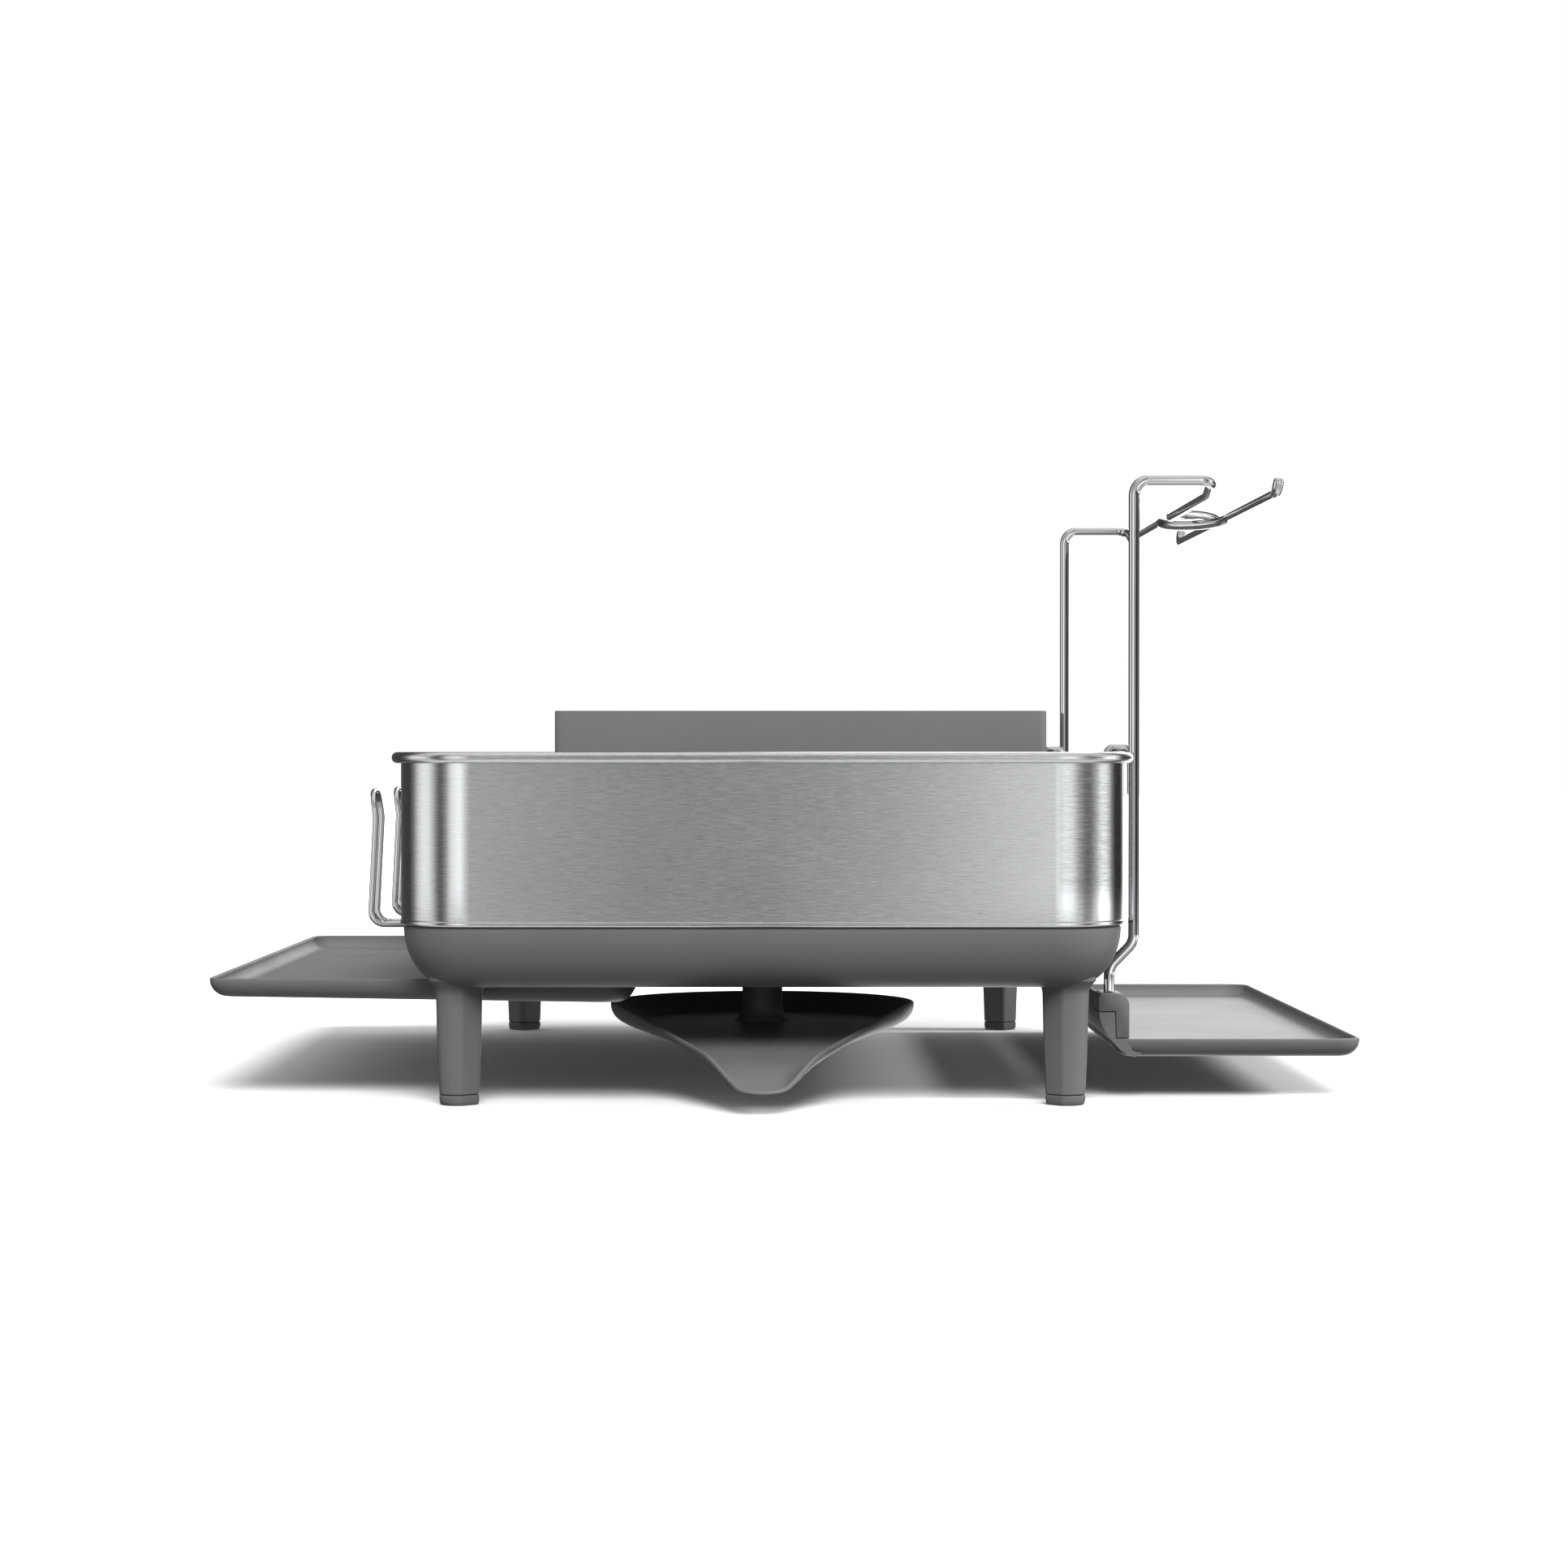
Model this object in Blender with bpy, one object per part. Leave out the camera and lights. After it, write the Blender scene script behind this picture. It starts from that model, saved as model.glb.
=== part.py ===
"""Dish drying rack: a brushed steel frame on a moulded drip base, with a swivel spout under the drain,
a slide-out cup tray on the left, a lift-off wine glass holder with its drip tray on the right, a lift-out
wire plate rack and a lift-out utensil caddy. Metres, +Z up, the spout end towards -Y."""

import math

import bmesh
import bpy
from mathutils import Matrix, Vector

# ------------------------------------------------------------------ driving dimensions, metres
GAP = 0.0003  # between pieces that touch

BAND_HALF_X = 0.1625
BAND_HALF_Y = 0.2450
BAND_CORNER = 0.0336
BAND_WALL = 0.0010
BAND_BOTTOM_Z = 0.0811
RIM_TOP_Z = 0.1583
RIM_OVERHANG = 0.0042
HEM_HEIGHT = 0.0022
HEM_PROUD = 0.00035

BASE_INSET = 0.0012  # base flank inside the band's outer face
BASE_TOP_Z = 0.0803
BASE_BOTTOM_Z = 0.0532
BASE_TUCK = 0.0210  # how far the flank curves in from top to bottom
BASE_WALL = 0.0027
BASE_FLOOR_Z = 0.0610
LIP_TOP_Z = 0.0880
LIP_INSET = 0.0005

LEG_X = 0.1355
LEG_Y = 0.2140
LEG_HALF_TOP = 0.0110
LEG_HALF_FOOT = 0.0095
LEG_FLAT = 0.14  # of the half width: how far past the middle a leg's flat outer faces reach
LEG_OUTER_CORNER = 0.0080
LEG_EDGE = 0.0028
PAD_HEIGHT = 0.0045

DRAIN_Y = -0.1250
DRAIN_HOLE_RADIUS = 0.0103
DRAIN_FUNNEL_RADIUS = 0.0460
DRAIN_FUNNEL_Z = 0.0596
COLLAR_RECESS_RADIUS = 0.0150
COLLAR_RECESS_Z = 0.0580
BOSS_RADIUS = 0.0125

SPOUT_RADIUS = 0.0720
SPOUT_LIP_RADIUS = 0.0140
SPOUT_REACH = 0.1460  # swivel axis to lip end
SPOUT_RIM_Z = 0.0403
SPOUT_FLOOR_Z = 0.0310
SPOUT_WALL = 0.0018
NECK_RADIUS = 0.0095
NECK_BORE = 0.0070
NECK_TOP_Z = 0.0578

CUP_TRAY_OUTER_X = -0.2536
CUP_TRAY_INNER_X = -0.0580
TRAY_HALF_Y = 0.1920
CUP_TRAY_RIM_Z = 0.0550
CUP_TRAY_UNDER_OUTER_Z = 0.0465
CUP_TRAY_UNDER_INNER_Z = 0.0433
CUP_TRAY_TRAVEL = 0.0900
TRAY_SKIN = 0.0020
TONGUE_START_X = -0.1407
TONGUE_END_X = -0.0800
POCKET_Z = 0.0572
POCKET_END_X = 0.0420
POCKET_HALF_Y = 0.1930
GROOVE_HALF_Y = 0.1962
GROOVE_Z = 0.0549

HOOK_WIRE = 0.0015  # wire radius
HOOK_CENTRES_Y = (-0.1530, -0.0510, 0.0510, 0.1530)
HOOK_HALF_WIDTH = 0.0120
HOOK_Z = 0.0786
HOOK_ROOT_X = -0.1812
HOOK_LEAN_X = -0.1791
HOOK_TIP_X = -0.1807
HOOK_TOP_Z = 0.1398
HOOK_INNER_X = -0.1515
HOOK_BAR_X = -0.1540
HOOK_BAR_Z = 0.0748
HOOK_BAR_WIRE = 0.0020

HOLDER_WIRE = 0.0025
HOLDER_Y = 0.1840
HOLDER_FOOT_X = 0.1588
HOLDER_WAIST_X = 0.1691
HOLDER_TOP_X = 0.1703
HOLDER_TOP_Z = 0.2829
RAIL_X = 0.2063
RAIL_Z = 0.2771
PRONG_X = 0.2355
CROSS_HALF_Y = 0.0220
CROSS_LIFT = 0.0027
TIP_RISE = 0.0069
HANGER_WIRE = 0.00175
HANGER_SIDE_STEP = 0.0046
HANGER_OUTER_X = 0.1692
HANGER_INNER_X = 0.15825

GLASS_TRAY_OUTER_X = 0.2739
GLASS_TRAY_INNER_X = 0.1600
GLASS_TRAY_RIM_Z = 0.0276
GLASS_TRAY_UNDER_Z = 0.0191
GLASS_WALL_TOP_Z = 0.0475
CLIP_LENGTH = 0.0240
CLIP_TOP_Z = 0.0483
CLIP_LEFT_X = 0.1532
CLIP_RIGHT_X = 0.1673
CLIP_SEAM_Z = 0.0400
CLIP_STEP_Z = 0.0280
CLIP_STEP_X = 0.1614
CLIP_SOCKET_Z = 0.0414

RACK_HALF_X = 0.1450
RACK_NEAR_Y = -0.2320
RACK_FAR_Y = 0.1120
RACK_CORNER = 0.0260
RACK_WIRE = 0.0025
RACK_FOOT_Z = 0.0613
RACK_FRAME_Z = 0.0678
RAIL_WIRE = 0.0020
DIVIDER_HALF_X = 0.0240
DIVIDER_WIRE = 0.0015
DIVIDER_COUNT = 10
DIVIDER_FIRST_Y = -0.1500
DIVIDER_PITCH = 0.0265
DIVIDER_TOP_Z = 0.1420
DIVIDER_BEND = 0.0200

CADDY_LEFT_X = -0.1136
CADDY_RIGHT_X = 0.1555
CADDY_NEAR_Y = 0.1240
CADDY_FAR_Y = 0.2240
CADDY_FLOOR_Z = 0.0720
CADDY_TOP_Z = 0.1813
CADDY_WALL = 0.0022
CADDY_CORNER = 0.0040
CADDY_CELLS = 3

# The rack's own centre, placed so that the whole object's box is centred over the origin.
SPOUT_LIP_Y = DRAIN_Y - SPOUT_REACH
RACK_CENTRE_X = -(CUP_TRAY_OUTER_X + GLASS_TRAY_OUTER_X) / 2
RACK_CENTRE_Y = -(SPOUT_LIP_Y + BAND_HALF_Y + RIM_OVERHANG) / 2

# ------------------------------------------------------------------ materials: colour, roughness, metallic
FINISHES = {
    "brushed_steel": ((0.62, 0.63, 0.64), 0.32, 1.0),
    "grey_plastic": ((0.115, 0.118, 0.122), 0.50, 0.0),
    "chrome_wire": ((0.80, 0.81, 0.82), 0.08, 1.0),
    "rubber": ((0.075, 0.077, 0.080), 0.75, 0.0),
    "screw_steel": ((0.55, 0.56, 0.57), 0.25, 1.0),
}


def clear_scene():
    for old in list(bpy.data.objects):
        bpy.data.objects.remove(old, do_unlink=True)


def make_materials():
    """One Principled material for each finish."""
    made = {}
    for name, (colour, roughness, metallic) in FINISHES.items():
        material = bpy.data.materials.new(name)
        material.use_nodes = True
        shader = material.node_tree.nodes["Principled BSDF"]
        shader.inputs["Base Color"].default_value = (*colour, 1.0)
        shader.inputs["Roughness"].default_value = roughness
        shader.inputs["Metallic"].default_value = metallic
        made[name] = material
    return made


clear_scene()
MATERIALS = make_materials()


def empty(name, location, parent=None):
    holder = bpy.data.objects.new(name, None)
    holder.location = location
    holder.parent = parent
    bpy.context.scene.collection.objects.link(holder)
    return holder


# ------------------------------------------------------------------ shape helpers
def add_object(name, data, finish, parent):
    """Links data as an object. A finish of None makes a hidden cutter or a shape to be joined."""
    made = bpy.data.objects.new(name, data)
    made.parent = parent
    bpy.context.scene.collection.objects.link(made)
    if finish is None:
        made.hide_render = True
        made.display_type = "WIRE"
    else:
        data.materials.append(MATERIALS[finish])
    return made


def mesh_object(name, work, finish, parent, sharp_degrees=35):
    """Turns a bmesh into an object with smooth shading and sharp edges above the given angle."""
    bmesh.ops.recalc_face_normals(work, faces=work.faces)
    mesh = bpy.data.meshes.new(name)
    work.to_mesh(mesh)
    work.free()
    mesh.shade_smooth()
    mesh.set_sharp_from_angle(angle=math.radians(sharp_degrees))
    return add_object(name, mesh, finish, parent)


def loft(name, loops, finish, parent, ring=False):
    """Skins loops of equal count. The two ends are capped, or joined to each other where ring is set."""
    work = bmesh.new()
    rows = [[work.verts.new(point) for point in loop] for loop in loops]
    pairs = list(zip(rows, rows[1:]))
    if ring:
        pairs.append((rows[-1], rows[0]))
    else:
        work.faces.new(rows[0])
        work.faces.new(rows[-1])
    for first, second in pairs:
        for index, corner in enumerate(first):
            after = (index + 1) % len(first)
            work.faces.new((corner, first[after], second[after], second[index]))
    return mesh_object(name, work, finish, parent)


def box(name, low, high, finish, parent):
    corners = [(low[0], low[1]), (high[0], low[1]), (high[0], high[1]), (low[0], high[1])]
    return loft(name, [[(x, y, z) for x, y in corners] for z in (low[2], high[2])], finish, parent)


def circle(radius, z, centre=(0.0, 0.0), steps=24):
    turns = [2 * math.pi * step / steps for step in range(steps)]
    return [(centre[0] + radius * math.cos(a), centre[1] + radius * math.sin(a), z) for a in turns]


def turned(name, profile, finish, parent, centre=(0.0, 0.0), ring=False, steps=24):
    """A turned piece from (radius, z) points."""
    loops = [circle(radius, z, centre, steps) for radius, z in profile]
    return loft(name, loops, finish, parent, ring)


def rounded_outline(low_x, high_x, low_y, high_y, radii, steps):
    """Plan outline of a rectangle. radii are those of its corners on the high and on the low X side."""
    points = []
    for corner, (side_x, side_y) in enumerate(((1, 1), (-1, 1), (-1, -1), (1, -1))):
        radius = radii[0] if side_x > 0 else radii[1]
        centre_x = high_x - radius if side_x > 0 else low_x + radius
        centre_y = high_y - radius if side_y > 0 else low_y + radius
        for step in range(steps + 1):
            angle = math.pi / 2 * (corner + step / steps)
            points.append((centre_x + radius * math.cos(angle), centre_y + radius * math.sin(angle)))
    return points


def rounded_polygon(corners, steps):
    """Outline of a polygon from ((x, y), radius) corners, listed anticlockwise."""
    points = []
    for index, (corner, radius) in enumerate(corners):
        here = Vector(corner)
        back = (Vector(corners[index - 1][0]) - here).normalized()
        ahead = (Vector(corners[(index + 1) % len(corners)][0]) - here).normalized()
        half_opening = back.angle(ahead) / 2
        centre = here + (back + ahead).normalized() * radius / math.sin(half_opening)
        first = here + back * radius / math.tan(half_opening) - centre
        turn = math.pi - 2 * half_opening
        points += [centre + Matrix.Rotation(turn * step / steps, 2) @ first for step in range(steps + 1)]
    return points


def inset_loop(bounds, radii, inset, z, steps):
    """A rounded outline drawn in by inset, at height z, which may be a function of x."""
    low_x, high_x, low_y, high_y = bounds
    smaller = [max(radius - inset, 0.0008) for radius in radii]
    outline = rounded_outline(
        low_x + inset, high_x - inset, low_y + inset, high_y - inset, smaller, steps
    )
    height = z if callable(z) else lambda x: z
    return [(x, y, height(x)) for x, y in outline]


def extruded(name, outline_xz, low_y, high_y, finish, parent):
    """A side outline of (x, z) points, extruded along Y."""
    loops = [[(x, y, z) for x, z in outline_xz] for y in (low_y, high_y)]
    return loft(name, loops, finish, parent)


def boolean(target, tool, operation):
    modifier = target.modifiers.new(tool.name, "BOOLEAN")
    modifier.operation = operation
    modifier.object = tool
    modifier.solver = "EXACT"


def rounded_path(corners):
    """Points of a path from (point, bend radius) pairs. The bends are arcs."""
    points = [Vector(corners[0][0])]
    for (before, _), (corner, radius), (after, _) in zip(corners, corners[1:], corners[2:]):
        here = Vector(corner)
        back = (Vector(before) - here).normalized()
        ahead = (Vector(after) - here).normalized()
        opening = back.angle(ahead)
        centre = here + (back + ahead).normalized() * radius / math.sin(opening / 2)
        start = here + back * radius / math.tan(opening / 2) - centre
        turn = math.pi - opening
        axis = back.cross(ahead).normalized()
        steps = max(2, math.ceil(turn / math.radians(22.5)))
        for step in range(steps + 1):
            points.append(centre + Matrix.Rotation(-turn * step / steps, 3, axis) @ start)
    points.append(Vector(corners[-1][0]))
    return points


def wire(name, points, radius, finish, parent, cyclic=False):
    """A round wire along the points."""
    curve = bpy.data.curves.new(name, "CURVE")
    curve.dimensions = "3D"
    curve.bevel_depth = radius
    curve.bevel_resolution = 2
    curve.use_fill_caps = not cyclic
    spline = curve.splines.new("POLY")
    spline.points.add(len(points) - 1)
    for place, point in zip(spline.points, points):
        place.co = (*point, 1.0)
    spline.use_cyclic_u = cyclic
    spline.use_smooth = True
    return add_object(name, curve, finish, parent)


# ------------------------------------------------------------------ frame: steel band, drip base, feet
def make_steel_band(parent):
    """The steel ring, with a rolled bead at the rim and a folded hem below."""
    bounds = (-BAND_HALF_X, BAND_HALF_X, -BAND_HALF_Y, BAND_HALF_Y)
    bead_mid_z = RIM_TOP_Z - 0.0025
    profile = (
        (BAND_WALL, BAND_BOTTOM_Z),
        (-HEM_PROUD, BAND_BOTTOM_Z),
        (-HEM_PROUD, BAND_BOTTOM_Z + HEM_HEIGHT),
        (0.0, BAND_BOTTOM_Z + HEM_HEIGHT + HEM_PROUD),
        (0.0, bead_mid_z - 0.0032),
        (-0.0014, bead_mid_z - 0.0024),
        (-0.0033, bead_mid_z - 0.0018),
        (-RIM_OVERHANG, bead_mid_z),
        (-0.0034, bead_mid_z + 0.0018),
        (-0.0016, RIM_TOP_Z),
        (0.0002, RIM_TOP_Z - 0.0002),
        (BAND_WALL, RIM_TOP_Z - 0.0012),
    )
    loops = [inset_loop(bounds, (BAND_CORNER,) * 2, inset, z, 12) for inset, z in profile]
    loft("steel_band", loops, "brushed_steel", parent, ring=True)


def flank_inset(z):
    """How far the base's flank is tucked in at height z."""
    drop = min(1.0, (BASE_TOP_Z - z) / (BASE_TOP_Z - BASE_BOTTOM_Z))
    return BASE_TUCK * (1 - math.sqrt(1 - drop * drop))


def leg_loop(centre, half, z):
    """Plan of a leg: a square whose outer corner is rounded and whose other three corners are cut across."""
    kept = LEG_FLAT * half
    plan = (
        ((half, half), LEG_OUTER_CORNER),
        ((-kept, half), LEG_EDGE),
        ((-half, kept), LEG_EDGE),
        ((kept, -half), LEG_EDGE),
        ((half, -kept), LEG_EDGE),
    )
    side_x = math.copysign(1, centre[0])
    side_y = math.copysign(1, centre[1])
    return [(centre[0] + side_x * u, centre[1] + side_y * v, z) for u, v in rounded_polygon(plan, 4)]


def corners_of_frame():
    return [(side_x * LEG_X, side_y * LEG_Y) for side_y in (-1, 1) for side_x in (-1, 1)]


def cut_tray_pocket(base, parent):
    """The pocket under the base that takes the cup tray, with a groove at each end for its tongues."""
    floor_z = BASE_BOTTOM_Z - 0.0100
    open_x = -BAND_HALF_X - 0.0100
    pocket = box(
        "pocket_cutter",
        (open_x, -POCKET_HALF_Y, floor_z),
        (POCKET_END_X, POCKET_HALF_Y, POCKET_Z),
        None,
        parent,
    )
    groove = box(
        "groove_cutter",
        (TONGUE_START_X - GAP, -GROOVE_HALF_Y, GROOVE_Z),
        (TONGUE_END_X + CUP_TRAY_TRAVEL + 0.0050, GROOVE_HALF_Y, POCKET_Z - 0.00005),
        None,
        parent,
    )
    relief = box(
        "relief_cutter",
        (POCKET_END_X + 0.0060, -POCKET_HALF_Y, floor_z),
        (BAND_HALF_X - BASE_TUCK - 0.0100, POCKET_HALF_Y, BASE_FLOOR_Z - 0.0028),
        None,
        parent,
    )
    for cutter in (pocket, groove, relief):
        boolean(base, cutter, "DIFFERENCE")


def cut_drain(base, parent):
    """A boss under the drain, a shallow funnel, the recess for the spout's collar and the hole."""
    centre = (0.0, DRAIN_Y)
    boss_profile = ((BOSS_RADIUS, BASE_BOTTOM_Z), (BOSS_RADIUS, POCKET_Z + 0.0010))
    boss = turned("boss_tool", boss_profile, None, parent, centre, steps=32)
    boolean(base, boss, "UNION")
    drain = turned(
        "drain_cutter",
        (
            (DRAIN_HOLE_RADIUS, BASE_BOTTOM_Z - 0.0050),
            (DRAIN_HOLE_RADIUS, COLLAR_RECESS_Z),
            (COLLAR_RECESS_RADIUS, COLLAR_RECESS_Z),
            (COLLAR_RECESS_RADIUS, DRAIN_FUNNEL_Z),
            (DRAIN_FUNNEL_RADIUS, BASE_FLOOR_Z + 0.0001),
            (DRAIN_FUNNEL_RADIUS, BASE_FLOOR_Z + 0.0040),
        ),
        None,
        parent,
        centre,
        steps=32,
    )
    boolean(base, drain, "DIFFERENCE")


def make_drip_base(parent):
    """The moulded basin on four legs."""
    half_x = BAND_HALF_X - BASE_INSET
    half_y = BAND_HALF_Y - BASE_INSET
    bounds = (-half_x, half_x, -half_y, half_y)
    radii = (BAND_CORNER - BASE_INSET,) * 2
    depth = BASE_TOP_Z - BASE_BOTTOM_Z
    outer = []
    for step in range(8, -1, -1):
        angle = math.pi / 2 * step / 8
        outer.append((BASE_TUCK * (1 - math.cos(angle)), BASE_TOP_Z - depth * math.sin(angle)))
    lip = [
        (LIP_INSET, BASE_TOP_Z + 0.00005),
        (LIP_INSET, LIP_TOP_Z),
        (BASE_WALL, LIP_TOP_Z),
    ]
    inner = []
    for step in range(5):
        z = BASE_TOP_Z - (BASE_TOP_Z - BASE_FLOOR_Z - 0.0012) * step / 4
        inner.append((BASE_WALL + flank_inset(z), z))
    inner.append((inner[-1][0] + 0.0024, BASE_FLOOR_Z))
    loops = [inset_loop(bounds, radii, inset, z, 8) for inset, z in outer + lip + inner]
    base = loft("drip_base", loops, "grey_plastic", parent)
    for index, centre in enumerate(corners_of_frame()):
        sections = (
            (LEG_HALF_FOOT, PAD_HEIGHT + GAP),
            (LEG_HALF_FOOT + 0.0010, 0.0300),
            (LEG_HALF_TOP, 0.0500),
            (LEG_HALF_TOP + 0.0011, 0.0530),
            (LEG_HALF_TOP + 0.0030, 0.0560),
            (LEG_HALF_TOP + 0.0030, BASE_FLOOR_Z - 0.0020),
        )
        loops = [leg_loop(centre, half, z) for half, z in sections]
        boolean(base, loft(f"leg_tool_{index + 1}", loops, None, parent), "UNION")
    cut_tray_pocket(base, parent)
    cut_drain(base, parent)
    notch_half = HOOK_WIRE + GAP
    for index, centre_y in enumerate(HOOK_CENTRES_Y):
        for side in (-1, 1):
            y = centre_y + side * HOOK_HALF_WIDTH
            notch = box(
                f"notch_cutter_{index + 1}_{'near' if side < 0 else 'far'}",
                (-half_x - 0.0050, y - notch_half, HOOK_Z - notch_half),
                (-half_x + 0.0060, y + notch_half, BASE_TOP_Z + 0.0006),
                None,
                parent,
            )
            boolean(base, notch, "DIFFERENCE")


def make_foot_pads(parent):
    for index, centre in enumerate(corners_of_frame()):
        sections = (
            (LEG_HALF_FOOT - 0.0012, 0.0),
            (LEG_HALF_FOOT - 0.0003, 0.0009),
            (LEG_HALF_FOOT, PAD_HEIGHT),
        )
        loops = [leg_loop(centre, half, z) for half, z in sections]
        loft(f"foot_pad_{index + 1}", loops, "rubber", parent)


def make_band_screws(parent):
    """Four pan-head screws inside, through the base's lip."""
    head = ((0.0016, 0.0), (0.0028, 0.0004), (0.0030, 0.0016), (0.0030, 0.0018))
    x = BAND_HALF_X - BASE_INSET - BASE_WALL - GAP
    z = (BASE_TOP_Z + LIP_TOP_Z) / 2
    places = ((x, -0.1000), (x, 0.0600), (-x, -0.1000), (-x, 0.0600))
    for index, (place_x, place_y) in enumerate(places):
        screw = turned(f"band_screw_{index + 1}", head, "screw_steel", parent, steps=16)
        inward = -1 if place_x > 0 else 1
        screw.rotation_euler = (0.0, -inward * math.pi / 2, 0.0)
        screw.location = (place_x + inward * 0.0018, place_y, z)


# ------------------------------------------------------------------ cup hooks
def make_cup_hooks(parent):
    """Four wire loops that come out through the base's edge and stand up over the cup tray."""
    for index, centre_y in enumerate(HOOK_CENTRES_Y):
        halves = []
        for side in (-1, 1):
            y = centre_y + side * HOOK_HALF_WIDTH
            halves.append(
                (
                    ((HOOK_INNER_X, y, HOOK_Z), 0.0),
                    ((HOOK_ROOT_X - 0.0003, y, HOOK_Z), 0.0060),
                    ((HOOK_LEAN_X, y, 0.1280), 0.0100),
                    ((HOOK_TIP_X, y, HOOK_TOP_Z), 0.0085),
                )
            )
        corners = list(halves[0]) + list(reversed(halves[1]))
        points = rounded_path(corners)
        wire(f"cup_hook_{index + 1}", points, HOOK_WIRE, "chrome_wire", parent)
    reach = HOOK_CENTRES_Y[-1] + HOOK_HALF_WIDTH + 0.0080
    bar = [Vector((HOOK_BAR_X, side * reach, HOOK_BAR_Z)) for side in (-1, 1)]
    wire("cup_hook_bar", bar, HOOK_BAR_WIRE, "chrome_wire", parent)


# ------------------------------------------------------------------ swivel spout, modelled about its axis
def spout_outline(inset):
    """Plan points of the spout's edge: a disc and a small lip circle, joined by their tangents."""
    lip_centre = SPOUT_REACH - SPOUT_LIP_RADIUS
    tangent = math.acos((SPOUT_RADIUS - SPOUT_LIP_RADIUS) / lip_centre)
    big = SPOUT_RADIUS - inset
    small = SPOUT_LIP_RADIUS - inset
    points = []
    for step in range(25):
        angle = tangent + (2 * math.pi - 2 * tangent) * step / 24
        points.append((big * math.sin(angle), -big * math.cos(angle)))
    first = points[0]
    last = points[-1]
    lip = []
    for step in range(9):
        angle = -tangent + 2 * tangent * step / 8
        lip.append((small * math.sin(angle), -lip_centre - small * math.cos(angle)))
    down = [[last[k] + (lip[0][k] - last[k]) * step / 6 for k in (0, 1)] for step in range(1, 6)]
    up = [[lip[-1][k] + (first[k] - lip[-1][k]) * step / 6 for k in (0, 1)] for step in range(1, 6)]
    return points + down + lip + up


def eased(value, low, high):
    """0 below low and 1 above high, with soft ends."""
    part = min(1.0, max(0.0, (value - low) / (high - low)))
    return part * part * (3 - 2 * part)


def spout_rim_height(y):
    """The edge is level round the disc, slopes down along the sides and dips into the lip."""
    along = max(0.0, -y - 0.0250)
    return SPOUT_RIM_Z - 0.178 * along - 0.0077 * eased(-y, 0.1060, SPOUT_REACH)


def spout_floor_height(y):
    along = max(0.0, -y - 0.0160)
    return SPOUT_FLOOR_Z - 0.080 * along - 0.0101 * eased(-y, 0.0700, SPOUT_REACH + 0.0050)


def spout_loop(inset, climb, drop):
    """An edge loop drawn in by inset, at a part climb of the way from floor to rim, lowered by drop."""
    points = []
    for x, y in spout_outline(inset):
        floor = spout_floor_height(y)
        rim = max(spout_rim_height(y), floor + 0.0004)
        points.append((x, y, floor + climb * (rim - floor) - drop))
    return points


def spout_inner_loop(edge, radius, part, drop):
    """Between the floor's edge loop and a circle round the neck."""
    points = []
    for x, y, _ in edge:
        reach = math.hypot(x, y)
        target_x = x / reach * radius
        target_y = y / reach * radius
        place_x = x + (target_x - x) * part
        place_y = y + (target_y - y) * part
        points.append((place_x, place_y, spout_floor_height(place_y) - drop))
    return points


def make_spout(parent):
    flare = 0.0140
    under_edge = spout_loop(0.0115, 0.0, SPOUT_WALL)
    upper_edge = spout_loop(0.0105, 0.0, 0.0)
    loops = [spout_inner_loop(under_edge, flare, part, SPOUT_WALL) for part in (1.0, 0.6, 0.3)]
    loops.append(under_edge)
    loops.append(spout_loop(0.0055, 0.15, SPOUT_WALL))
    loops.append(spout_loop(0.0016, 0.55, SPOUT_WALL))
    loops.append(spout_loop(0.0, 1.0, 0.0012))
    loops.append(spout_loop(0.0003, 1.0, 0.0003))
    loops.append(spout_loop(0.0010, 1.0, 0.0))
    loops.append(spout_loop(0.0017, 1.0, 0.0004))
    loops.append(spout_loop(0.0032, 0.55, 0.0))
    loops.append(spout_loop(0.0062, 0.15, 0.0))
    loops.append(upper_edge)
    loops += [spout_inner_loop(upper_edge, flare, part, 0.0) for part in (0.3, 0.6, 1.0)]
    neck = ((0.0113, 0.0330), (0.0099, 0.0360), (NECK_RADIUS, 0.0395), (NECK_RADIUS, NECK_TOP_Z))
    bore = ((NECK_BORE, NECK_TOP_Z), (NECK_BORE, SPOUT_FLOOR_Z + 0.0008))
    for radius, z in neck + bore:
        ring = []
        for x, y, _ in upper_edge:
            reach = math.hypot(x, y)
            ring.append((x / reach * radius, y / reach * radius, z))
        loops.append(ring)
    spout = loft("swivel_spout", loops, "grey_plastic", parent)
    window = box("outlet_cutter", (-0.0045, 0.0020, 0.0322), (0.0045, 0.0180, 0.0420), None, parent)
    boolean(spout, window, "DIFFERENCE")
    collar_bore = NECK_RADIUS + GAP
    collar_low = COLLAR_RECESS_Z + GAP
    collar = (
        (collar_bore, collar_low),
        (COLLAR_RECESS_RADIUS - 0.0006, collar_low),
        (COLLAR_RECESS_RADIUS - 0.0006, DRAIN_FUNNEL_Z - 0.0006),
        (COLLAR_RECESS_RADIUS - 0.0014, DRAIN_FUNNEL_Z - 0.0002),
        (collar_bore, DRAIN_FUNNEL_Z - 0.0002),
    )
    turned("spout_collar", collar, "grey_plastic", parent, ring=True)
    washer_top = BASE_BOTTOM_Z - GAP
    washer = (
        (collar_bore, washer_top - 0.0012),
        (BOSS_RADIUS - 0.0003, washer_top - 0.0012),
        (BOSS_RADIUS - 0.0003, washer_top),
        (collar_bore, washer_top),
    )
    turned("spout_washer", washer, "rubber", parent, ring=True)


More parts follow.
